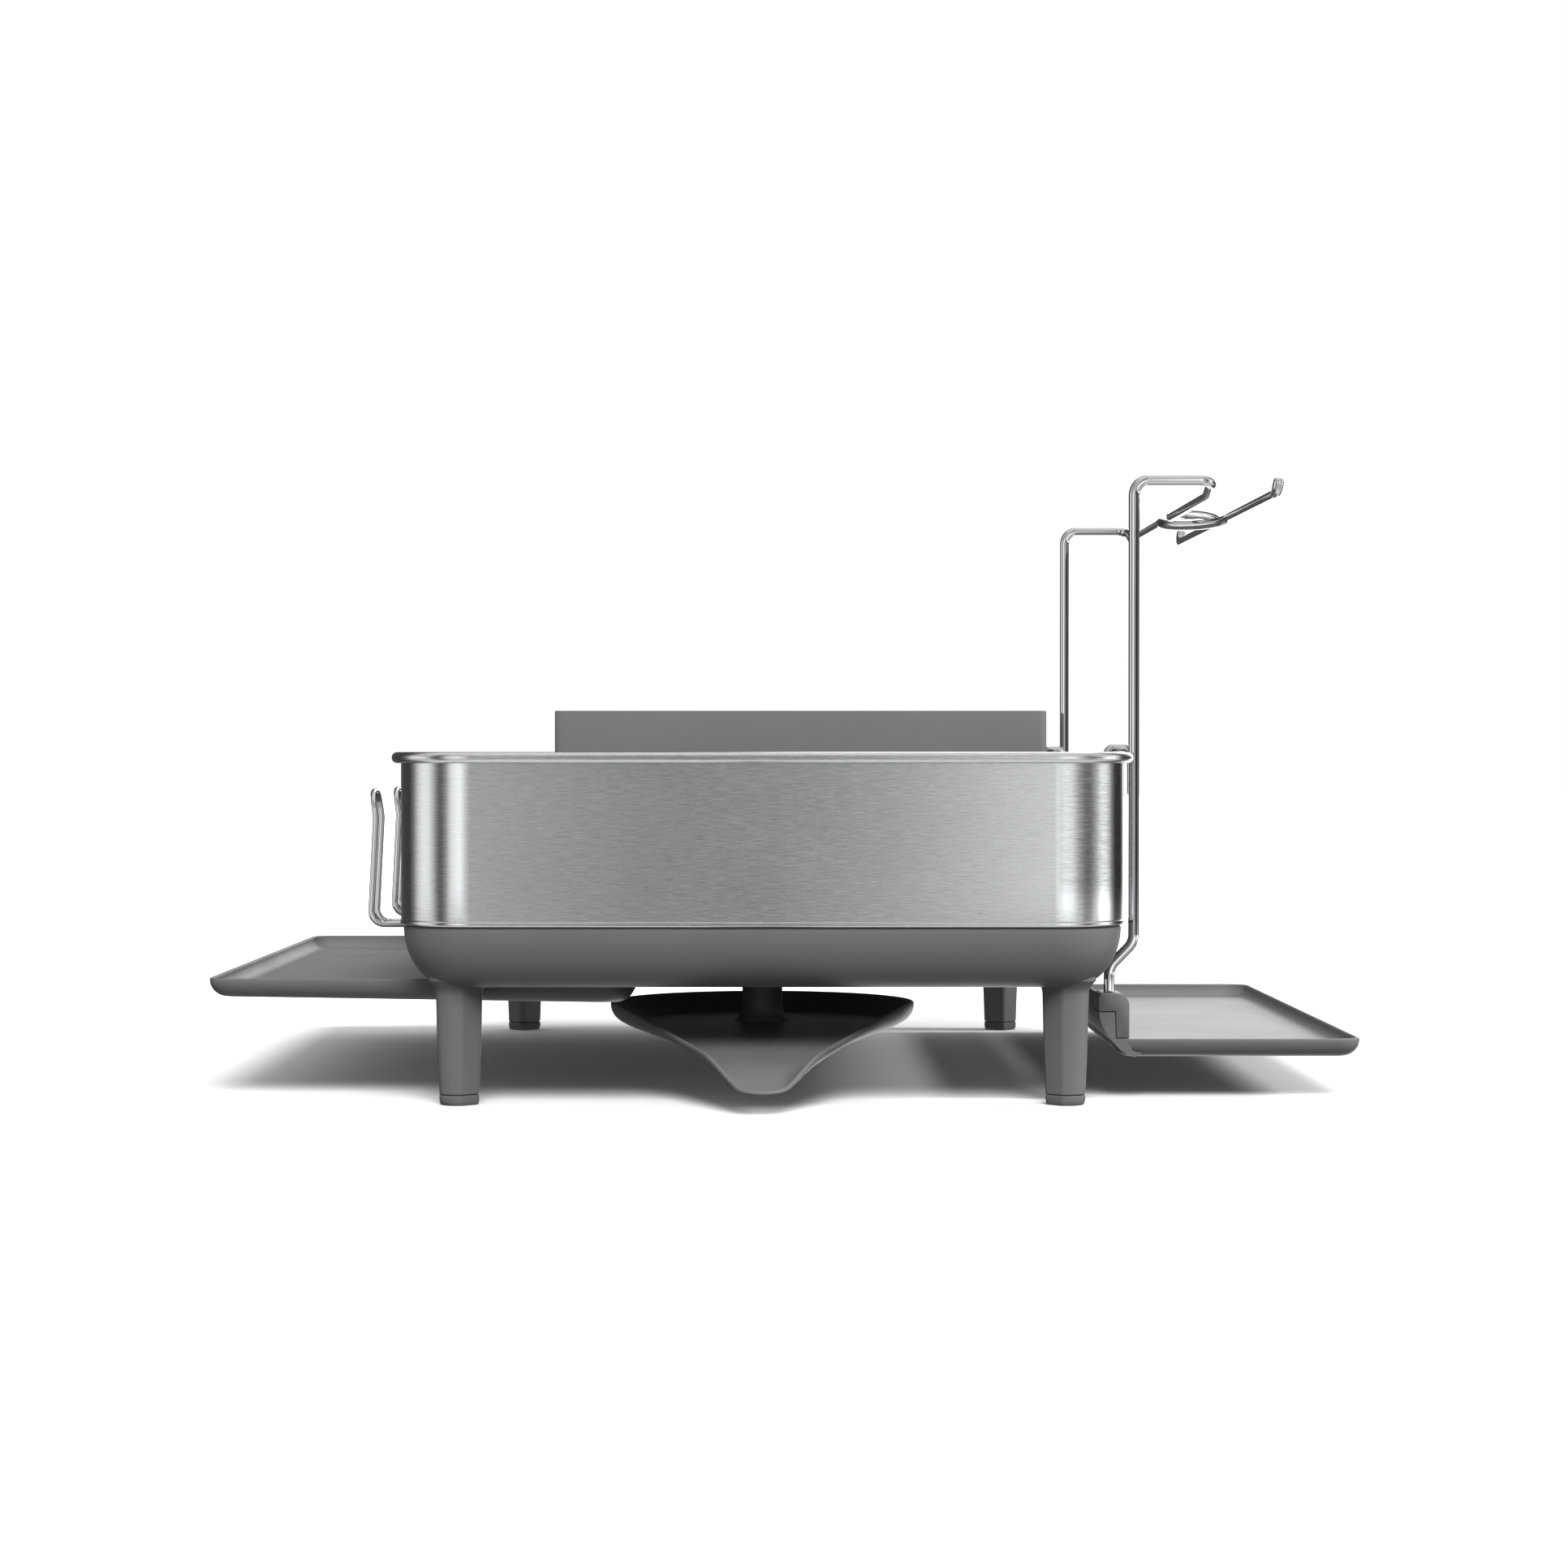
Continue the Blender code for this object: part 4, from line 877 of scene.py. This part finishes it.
def spout_inner_loop(edge, part, drop):
    """A loop in the floor, part of the way from its edge to the neck's flare."""
    points = []
    for (x, y, _), (inner_x, inner_y) in zip(edge, onto_circle(edge, NECK_FLARE_RADIUS)):
        y += (inner_y - y) * part
        points.append((x + (inner_x - x) * part, y, spout_height(y, SPOUT_FLOOR_FALL) - drop))
    return points


def spout_wall(start, end, drop, drop_end):
    """Wall loops that leave the floor level and meet the rim upright, from inset to inset."""
    steps = 10
    loops = []
    for step, (climb, across) in enumerate(quarter(steps)[1:-1], 1):
        fade = drop + (drop_end - drop) * step / steps
        loops.append(spout_loop(start + (end - start) * across, climb, fade))
    return loops


def make_spout():
    """The dish and its hollow neck, then the collar and the washer on the neck."""
    under_edge = spout_loop(SPOUT_UNDER_INSET, 0.0, SPOUT_WALL)
    upper_edge = spout_loop(SPOUT_UPPER_INSET, 0.0, 0.0)
    parts = (1.0, 0.8, 0.6, 0.4, 0.2)
    loops = [spout_inner_loop(under_edge, part, SPOUT_WALL) for part in parts]
    loops.append(under_edge)
    loops += spout_wall(SPOUT_UNDER_INSET, 0.0, SPOUT_WALL, 0.0012)
    loops += [spout_loop(inset, 1.0, drop) for inset, drop in SPOUT_EDGE]
    loops += spout_wall(SPOUT_UPPER_INSET, SPOUT_WALL, 0.0, 0.0002)[::-1]
    loops.append(upper_edge)
    loops += [spout_inner_loop(upper_edge, part, 0.0) for part in parts[::-1]]
    neck = [(0.0113, 0.0330), (0.0104, 0.0345), (0.0099, 0.0360), (NECK_RADIUS, 0.0395)]
    neck += [(NECK_RADIUS, NECK_TOP_Z - 0.0004), (NECK_RADIUS - 0.0004, NECK_TOP_Z)]
    neck += [(NECK_BORE, NECK_TOP_Z), (NECK_BORE, SPOUT_FLOOR_Z + 0.0008)]
    for radius, z in neck:
        loops.append([(x, y, z) for x, y in onto_circle(upper_edge, radius)])
    centred = [[(x, y + DRAIN_Y, z) for x, y, z in loop] for loop in loops]
    spout = loft("swivel_spout_fine", centred, sharp_degrees=50)
    ends = zip((-WINDOW_HALF_X, WINDOW_HALF_X), (DRAIN_Y + y for y in WINDOW_Y), WINDOW_Z)
    combine(spout, [box("window_tool", *ends)])
    place(spout, "spout", "plastic", "swivel_spout")
    for name, slot in (("spout_collar", "plastic"), ("spout_washer", "rubber")):
        low, high = extent(name)
        outer = (high.x - low.x) / 2
        bore_radius = NECK_RADIUS + GAP
        profile = [(bore_radius, low.z), (outer - EDGE, low.z), (outer, low.z + EDGE)]
        profile += [(outer, high.z - EDGE), (outer - EDGE, high.z)]
        profile += [(bore_radius + EDGE, high.z), (bore_radius, high.z - EDGE)]
        place(turned(f"{name}_fine", profile, (0.0, DRAIN_Y), ring=True), "spout", slot, name)


# ---- cup tray
def cup_tray_underside(x):
    """The underside falls towards the tray's inner end."""
    part = (x - CUP_TRAY_OUTER_X) / (CUP_TRAY_INNER_X - CUP_TRAY_OUTER_X)
    return CUP_TRAY_UNDER_OUTER_Z + (CUP_TRAY_UNDER_INNER_Z - CUP_TRAY_UNDER_OUTER_Z) * part


def tray_loops(bounds, radii, rim_z, underside):
    """Skin loops of a shallow tray whose walls curve under. underside is a function of x."""
    corner_steps = 14
    curve = quarter(12)

    def loop(inset, climb, skin):
        def height(x):
            low = underside(x) + skin
            return low + climb * (rim_z - low)

        return inset_loop(bounds, radii, inset, height, corner_steps)

    outer = [loop(TRAY_CURVE * (1 - out), 0.9 * up, 0.0) for up, out in curve]
    rim = [inset_loop(bounds, radii, inset, rim_z - drop, corner_steps) for inset, drop in TRAY_RIM]
    inner_curve = TRAY_CURVE - TRAY_WALL
    inner = [loop(TRAY_WALL + inner_curve * (1 - out), 0.88 * up, TRAY_SKIN) for up, out in curve]
    return outer + rim + inner[::-1]


def make_cup_tray():
    """The tray under the cup hooks. A notch in its inner end clears the spout's neck."""
    bounds = (CUP_TRAY_OUTER_X, CUP_TRAY_INNER_X, -TRAY_HALF_Y, TRAY_HALF_Y)
    loops = tray_loops(bounds, (0.0180, 0.0115), CUP_TRAY_RIM_Z, cup_tray_underside)
    tray = loft("cup_tray_fine", loops)
    notch_half = BOSS_RADIUS + 0.0015
    wall_half = notch_half + TRAY_SKIN
    notch_x = -BOSS_RADIUS - 0.0006 - CUP_TRAY_TRAVEL
    wall = box(
        "notch_wall_tool",
        (notch_x - TRAY_SKIN, DRAIN_Y - wall_half, 0.0460),
        (CUP_TRAY_INNER_X - 0.0040, DRAIN_Y + wall_half, CUP_TRAY_RIM_Z - 0.0006),
    )
    notch = box(
        "notch_tool",
        (notch_x, DRAIN_Y - notch_half, 0.0400),
        (CUP_TRAY_INNER_X + CUT_PAST, DRAIN_Y + notch_half, CUP_TRAY_RIM_Z + CUT_PAST),
    )
    root_y, web_y, tip_y = TRAY_HALF_Y - 0.0014, TRAY_HALF_Y - 0.0001, GROOVE_HALF_Y - 0.0005
    root_z, low_z, high_z = CUP_TRAY_RIM_Z - 0.0030, GROOVE_Z + GAP, POCKET_Z - 0.0006
    outline = ((root_y, root_z), (web_y, root_z), (web_y, low_z))
    outline += ((tip_y, low_z), (tip_y, high_z), (root_y, high_z))
    ends = (TONGUE_START_X, TONGUE_END_X)
    tongues = [
        loft("tongue_tool", [[(x, side * y, z) for y, z in outline] for x in ends])
        for side in (-1, 1)
    ]
    combine(tray, [wall], "UNION")
    combine(tray, [notch])
    combine(tray, tongues, "UNION")
    place(tray, "sliding_tray", "plastic", "cup_tray")


# ---- wire plate rack
def add_weld(work, centre, size):
    """A low bead of weld: a squashed dome above and below its middle."""
    radius, half_height = size
    loops = []
    for level in range(1, 8):
        angle = math.pi * level / 8
        ring = circle(radius * math.sin(angle), half_height * math.cos(angle), steps=12)
        loops.append([Vector(centre) + Vector(point) for point in ring])
    add_loft(work, loops)


def make_plate_rack():
    """A welded wire rack that stands on the basin's floor."""
    bounds = (-RACK_HALF_X, RACK_HALF_X, RACK_NEAR_Y, RACK_FAR_Y)
    outline = inset_loop(bounds, (RACK_CORNER,) * 2, 0.0, RACK_FRAME_Z, 16)
    place_wire("rack_frame", outline, RACK_WIRE, "plate_rack", cyclic=True)
    for index in range(4):
        name = f"rack_foot_{index + 1}"
        low, high = extent(name)
        middle = (low + high) / 2
        profile = [(0.0048, low.z), (0.0056, low.z + EDGE), (0.0058, low.z + 3 * EDGE)]
        profile += [(0.0047, high.z - EDGE), (0.0044, high.z)]
        foot = turned(f"{name}_fine", profile, (middle.x, middle.y), steps=40)
        place(foot, "plate_rack", "rubber", name)
    rail_z = RACK_FRAME_Z + RACK_WIRE + GAP + RAIL_WIRE
    cross_z = rail_z - 2 * RAIL_WIRE - GAP
    divider_z = rail_z + RAIL_WIRE + GAP
    welds = bmesh.new()
    for name, side in (("rack_rail_left", -1), ("rack_rail_right", 1)):
        ends = [(side * DIVIDER_HALF_X, y, rail_z) for y in (RACK_NEAR_Y, RACK_FAR_Y)]
        place_wire(name, ends, RAIL_WIRE, "plate_rack")
        for x, y, z in ends:
            add_weld(welds, (x, y, z - RAIL_WIRE), RAIL_WELD)
    reach = RACK_HALF_X - RACK_WIRE - GAP
    for index in range(3):
        y = RACK_NEAR_Y + (RACK_FAR_Y - RACK_NEAR_Y) * (index + 1) / 4
        ends = [(side * reach, y, cross_z) for side in (-1, 1)]
        place_wire(f"rack_cross_{index + 1}", ends, RAIL_WIRE, "plate_rack")
        for side in (-1, 1):
            add_weld(welds, (side * DIVIDER_HALF_X, y, cross_z + RAIL_WIRE), CROSS_WELD)
            add_weld(welds, (side * (reach - 0.0002), y, cross_z), CROSS_END_WELD)
    for index in range(DIVIDER_COUNT):
        y = DIVIDER_FIRST_Y + DIVIDER_PITCH * index
        feet = [(side * DIVIDER_HALF_X, y, divider_z) for side in (-1, 1)]
        path = staple(feet, DIVIDER_TOP_Z, DIVIDER_BEND)
        place_wire(f"plate_divider_{index + 1:02d}", path, DIVIDER_WIRE, "plate_rack")
        for foot in feet:
            add_weld(welds, foot, DIVIDER_WELD)
    place(mesh_piece("rack_welds", welds), "plate_rack", "wire")


# ---- utensil caddy
def make_caddy():
    """An open box on four feet, with two dividers that drop in and slots to let the water out."""
    bounds = (CADDY_LOW.x, CADDY_HIGH.x, CADDY_LOW.y, CADDY_HIGH.y)
    top_z = CADDY_HIGH.z
    floor_z = CADDY_FLOOR_Z
    inner_z = floor_z + CADDY_WALL
    rim = [(0.0, top_z - 0.0008), (0.0001, top_z - 0.0004)]
    rim += [(0.0004, top_z - 0.0001), (0.0008, top_z)]
    profile = [(0.0012, floor_z), (0.0004, floor_z + EDGE), (0.0, floor_z + 0.0012)]
    profile += [(0.0, floor_z + (top_z - floor_z) * part) for part in (0.25, 0.5, 0.75)]
    profile += rim + [(CADDY_WALL - inset, z) for inset, z in rim[::-1]]
    profile += [(CADDY_WALL, inner_z + 0.0010), (CADDY_WALL + EDGE, inner_z + EDGE)]
    profile.append((CADDY_WALL + 0.0010, inner_z))
    loops = [inset_loop(bounds, (CADDY_CORNER,) * 2, inset, z, 10) for inset, z in profile]
    caddy = loft("utensil_caddy_fine", loops)
    foot_sections = (
        (CADDY_FOOT_HALF - 0.0004, CADDY_LOW.z),
        (CADDY_FOOT_HALF, CADDY_LOW.z + 0.0004),
        (CADDY_FOOT_HALF, floor_z + 0.0010),
    )
    feet = []
    for y in (CADDY_LOW.y + CADDY_FOOT_INSET, CADDY_HIGH.y - CADDY_FOOT_INSET):
        for x in (CADDY_LOW.x + CADDY_FOOT_INSET, CADDY_HIGH.x - CADDY_FOOT_INSET):
            loops = [square_loop((x, y), half, z, 0.0015) for half, z in foot_sections]
            feet.append(loft("caddy_foot_tool", loops))
    combine(caddy, feet, "UNION")
    cell = (CADDY_HIGH.x - CADDY_LOW.x - 2 * CADDY_WALL) / CADDY_CELLS
    half_x, half_y = CADDY_SLOT_HALF
    slots = []
    for column in range(CADDY_CELLS):
        x = CADDY_LOW.x + CADDY_WALL + cell * (column + 0.5)
        for row in (-1, 0, 1):
            y = (CADDY_LOW.y + CADDY_HIGH.y) / 2 + CADDY_SLOT_PITCH * row
            outline = (x - half_x, x + half_x, y - half_y, y + half_y)
            heights = (floor_z - 0.0020, inner_z + 0.0020)
            loops = [inset_loop(outline, (0.0021, 0.0021), 0.0, z, 8) for z in heights]
            slots.append(loft("slot_tool", loops))
    combine(caddy, slots)
    place(caddy, "caddy", "plastic", "utensil_caddy")
    for index in range(1, CADDY_CELLS):
        name = f"caddy_divider_{index}"
        low, high = extent(name)
        divider = soften(box(f"{name}_fine", low, high), 0.0006)
        place(divider, "caddy", "plastic", name)


# ---- wine glass holder
def crossing(side):
    """The wire's run across the middle, bowed up on the near wire and down on the far one."""
    points = []
    for step in range(33):
        part = step / 32
        swing = (1 - math.cos(math.pi * part)) / 2
        x = RAIL_X + (PRONG_X - RAIL_X) * swing
        y = side * CROSS_HALF_Y * (1 - 2 * part)
        points.append(Vector((x, y, RAIL_Z - side * CROSS_LIFT * math.sin(math.pi * part))))
    return points


def make_holder_wires():
    """Each wire runs from its clip up to an arm, back along a rail, across and out to a tip."""
    for name, side in (("near", -1), ("far", 1)):
        y = side * HOLDER_Y
        rise = (
            ((HOLDER_FOOT_X, y, CLIP_SOCKET_Z + GAP), 0.0),
            ((HOLDER_FOOT_X, y, BEND_LOW_Z), BEND_RADIUS),
            ((HOLDER_WAIST_X, y, BEND_HIGH_Z), BEND_RADIUS),
            ((HOLDER_TOP_X, y, HOLDER_TOP_Z), HOLDER_BEND),
            ((RAIL_X, y, HOLDER_TOP_Z), HOLDER_BEND),
            ((RAIL_X, y - side * RAIL_RUN, RAIL_Z), RAIL_BEND),
            ((RAIL_X, side * CROSS_END_Y, RAIL_Z), 0.0),
        )
        tip = (
            ((PRONG_X, -side * CROSS_END_Y, RAIL_Z), 0.0),
            ((PRONG_X, -y, RAIL_Z), PRONG_BEND),
            ((PRONG_X + TIP_OUT, -y - side * TIP_RUN, RAIL_Z + TIP_RISE), 0.0),
        )
        points = rounded_path(rise) + crossing(side) + rounded_path(tip)
        place_wire(f"holder_wire_{name}", points, HOLDER_WIRE, "glass_holder")
        hanger_y = y - side * HANGER_SIDE_STEP
        over_z = RIM_TOP_Z + GAP + HANGER_WIRE
        outer = (HANGER_OUTER_X, hanger_y, HANGER_OUTER_Z)
        inner = (HANGER_INNER_X, hanger_y, HANGER_INNER_Z)
        hanger = staple((outer, inner), over_z, HANGER_BEND)
        place_wire(f"rim_hanger_{name}", hanger, HANGER_WIRE, "glass_holder")


def glass_wall_outline():
    """Side view of the tray's raised inner wall: down the outside and back up the inside."""
    outer_x, inner_x = GLASS_WALL_X
    top_z = CLIP_SEAM_Z - GAP
    outside = ((outer_x, top_z), (0.1544, 0.0350), (0.1570, 0.0298), (0.1612, 0.0246))
    under = ((0.1656, 0.0207), (0.1700, GLASS_TRAY_UNDER_Z))
    inside = ((0.1730, 0.0212), (0.1690, 0.0221), (0.1625, 0.0262), (0.1588, 0.0300))
    top = ((0.1568, 0.0362), (inner_x, top_z))
    return smooth_line(outside + under, 4) + smooth_line(inside + top, 4)


def make_glass_tray():
    """The drip tray under the glasses. Its inner wall rises to the clips on the holder's wires."""
    bounds = (GLASS_TRAY_INNER_X, GLASS_TRAY_OUTER_X, -TRAY_HALF_Y, TRAY_HALF_Y)
    radii = (0.0110, 0.0090)
    loops = tray_loops(bounds, radii, GLASS_TRAY_RIM_Z, lambda _x: GLASS_TRAY_UNDER_Z)
    tray = loft("glass_tray_fine", loops)
    wall_y = TRAY_HALF_Y - 0.0002
    wall = extruded("glass_wall_tool", glass_wall_outline(), -wall_y, wall_y)
    combine(tray, [wall], "UNION")
    outer_x, inner_x = GLASS_WALL_X
    radius = (inner_x - outer_x) / 2
    ridge = [(x, CLIP_SEAM_Z - 0.0010) for x in GLASS_WALL_X]
    ridge += arc((outer_x + radius, GLASS_WALL_TOP_Z - radius), radius, 0, 180, 10)
    clear_y = TRAY_HALF_Y - CLIP_LENGTH - 2 * GAP
    combine(tray, [extruded("glass_ridge_tool", ridge, -clear_y, clear_y)], "UNION")
    seam_z, step_z = CLIP_SEAM_Z - GAP, CLIP_STEP_Z - GAP
    block = [(0.1536, seam_z), (0.1546, 0.0350), (0.1614, 0.0246), (0.1665, 0.0207)]
    block += [(0.1690, 0.0207), (CLIP_RIGHT_X, step_z)]
    block += [(CLIP_STEP_X - GAP, step_z), (CLIP_STEP_X - 0.0006, seam_z)]
    blocks = []
    for side in (-1, 1):
        ends = sorted((side * (wall_y - CLIP_LENGTH), side * (wall_y - 0.0001)))
        blocks.append(extruded("clip_block_tool", block, *ends))
    combine(tray, blocks, "UNION")
    place(tray, "glass_holder", "plastic", "glass_tray")


def make_tray_clips():
    """The clips over the tray's inner wall, each with a socket for the end of the holder's wire."""
    left, right = CLIP_LEFT_RADIUS, CLIP_RIGHT_RADIUS
    outline = [(CLIP_LEFT_X + 0.0002, CLIP_SEAM_Z)]
    outline += arc((CLIP_LEFT_X + left, CLIP_TOP_Z - left), left, 180, 90, 10)
    outline += arc((CLIP_RIGHT_X - right, CLIP_TOP_Z - right), right, 90, 0, 14)
    outline += [(CLIP_RIGHT_X, CLIP_STEP_Z), (CLIP_STEP_X, CLIP_STEP_Z)]
    outline.append((CLIP_STEP_X - EDGE, CLIP_SEAM_Z))
    bore = [(HOLDER_WIRE + GAP, z) for z in (CLIP_SOCKET_Z, CLIP_TOP_Z + CUT_PAST)]
    for name, side in (("near", -1), ("far", 1)):
        ends = sorted((side * TRAY_HALF_Y, side * (TRAY_HALF_Y - CLIP_LENGTH)))
        clip = soften(extruded(f"tray_clip_{name}_fine", outline, *ends), 0.0004)
        combine(clip, [turned("socket_tool", bore, (HOLDER_FOOT_X, side * HOLDER_Y), steps=32)])
        place(clip, "glass_holder", "plastic", f"tray_clip_{name}")


# ---- studio
def make_floor():
    mesh = bpy.data.meshes.new("floor")
    half = FLOOR_HALF
    corners = [(-half, -half, 0.0), (half, -half, 0.0), (half, half, 0.0), (-half, half, 0.0)]
    mesh.from_pydata(corners, [], [(0, 1, 2, 3)])
    floor = add_object("floor", mesh)
    pale = Shader("pale_floor", (0.97, 0.97, 0.97), 0.9, 0.0)
    pale.put("Specular IOR Level", 0.0)
    mesh.materials.append(pale.material)
    floor.visible_glossy = False
    floor.visible_diffuse = False


def mirrored_strips(sky, azimuth, z):
    """Brightness that polished metal mirrors, from the azimuth and the height of the direction."""
    along = sky.calc("ADD", sky.calc("DIVIDE", azimuth, 2 * math.pi), 0.5)
    ramp = sky.node("ShaderNodeValToRGB", {0: along})
    stops = ramp.color_ramp.elements
    brightest = max(value for _, value in STUDIO)
    while len(stops) < len(STUDIO):
        stops.new(0.5)
    for stop, (degrees, value) in zip(stops, STUDIO):
        stop.position = degrees / 360 + 0.5
        stop.color = (*[value / brightest] * 3, 1.0)
    strips = sky.calc("MULTIPLY", ramp.outputs["Color"], brightest)
    height = sky.calc("ABSOLUTE", z)
    # Level with the horizon the strips on the right are shaded.
    level = sky.calc("SUBTRACT", 1.0, sky.smooth(height, 0.05, 0.15))
    right = sky.calc("MULTIPLY", sky.smooth(azimuth, 0.10, 0.25), sky.smooth(azimuth, 2.9, 2.6))
    shade_share = sky.calc("MULTIPLY", sky.calc("MULTIPLY", level, right), RIGHT_SHADE)
    # Off the horizon the strips are held down, but for the one behind the rack.
    off_behind = sky.smooth(sky.calc("ABSOLUTE", azimuth), 2.65, 2.45)
    off_horizon = sky.calc("MULTIPLY", sky.smooth(height, 0.12, 0.32), off_behind)
    held = sky.blend(off_horizon, strips, sky.calc("MINIMUM", strips, STRIP_LIMIT))
    shaded = sky.calc("MULTIPLY", held, sky.calc("SUBTRACT", 1.0, shade_share))
    return sky.blend(sky.smooth(height, 0.60, 0.92), shaded, 1.0)


def make_world():
    """White to look at, an even fill for matt surfaces, and strip lights for metal to mirror."""
    world = bpy.data.worlds.new("studio")
    world.use_nodes = True
    bpy.context.scene.world = world
    sky = Nodes(world.node_tree)
    sky.tree.nodes.clear()
    direction = sky.node("ShaderNodeTexCoord").outputs["Generated"]
    x, y, z = sky.node("ShaderNodeSeparateXYZ", {0: direction}).outputs
    mirrored = mirrored_strips(sky, sky.calc("ARCTAN2", x, sky.calc("MULTIPLY", y, -1.0)), z)
    above = sky.blend(sky.smooth(z, 0.0, 0.5), FILL_LEVEL, FILL_ABOVE)
    fill_light = sky.blend(sky.calc("GREATER_THAN", z, 0.0), FILL_BELOW, above)
    path = sky.node("ShaderNodeLightPath").outputs
    lit = sky.blend(path["Is Glossy Ray"], fill_light, mirrored)
    seen = sky.blend(path["Is Camera Ray"], lit, 1.0)
    background = sky.node("ShaderNodeBackground", {"Color": (1.0,) * 4, "Strength": seen})
    sky.node("ShaderNodeOutputWorld", {0: background.outputs[0]})


def make_lights():
    """Two broad lights, which polished metal doesn't mirror."""
    for name, (direction, degrees, strength) in LIGHTS.items():
        light = bpy.data.lights.new(name, type="SUN")
        light.angle = math.radians(degrees)
        light.energy = strength
        lamp = add_object(name, light)
        lamp.rotation_euler = Vector(direction).to_track_quat("Z", "Y").to_euler()
        lamp.visible_glossy = False


def make_camera():
    lens = bpy.data.cameras.new("camera")
    lens.lens = CAMERA_LENS
    lens.sensor_width = 36.0
    lens.shift_x, lens.shift_y = CAMERA_SHIFT
    lens.clip_start = 0.05
    lens.clip_end = 60.0
    camera = add_object("camera", lens)
    camera.location = CENTRE + CAMERA_PLACE
    camera.rotation_euler = (math.pi / 2, 0.0, 0.0)
    bpy.context.scene.camera = camera


make_band()
make_base()
make_foot_pads()
make_screws()
make_cup_hooks()
make_spout()
make_cup_tray()
make_plate_rack()
make_caddy()
make_holder_wires()
make_glass_tray()
make_tray_clips()
make_floor()
make_world()
make_lights()
make_camera()
bpy.context.scene.view_settings.view_transform = "Standard"
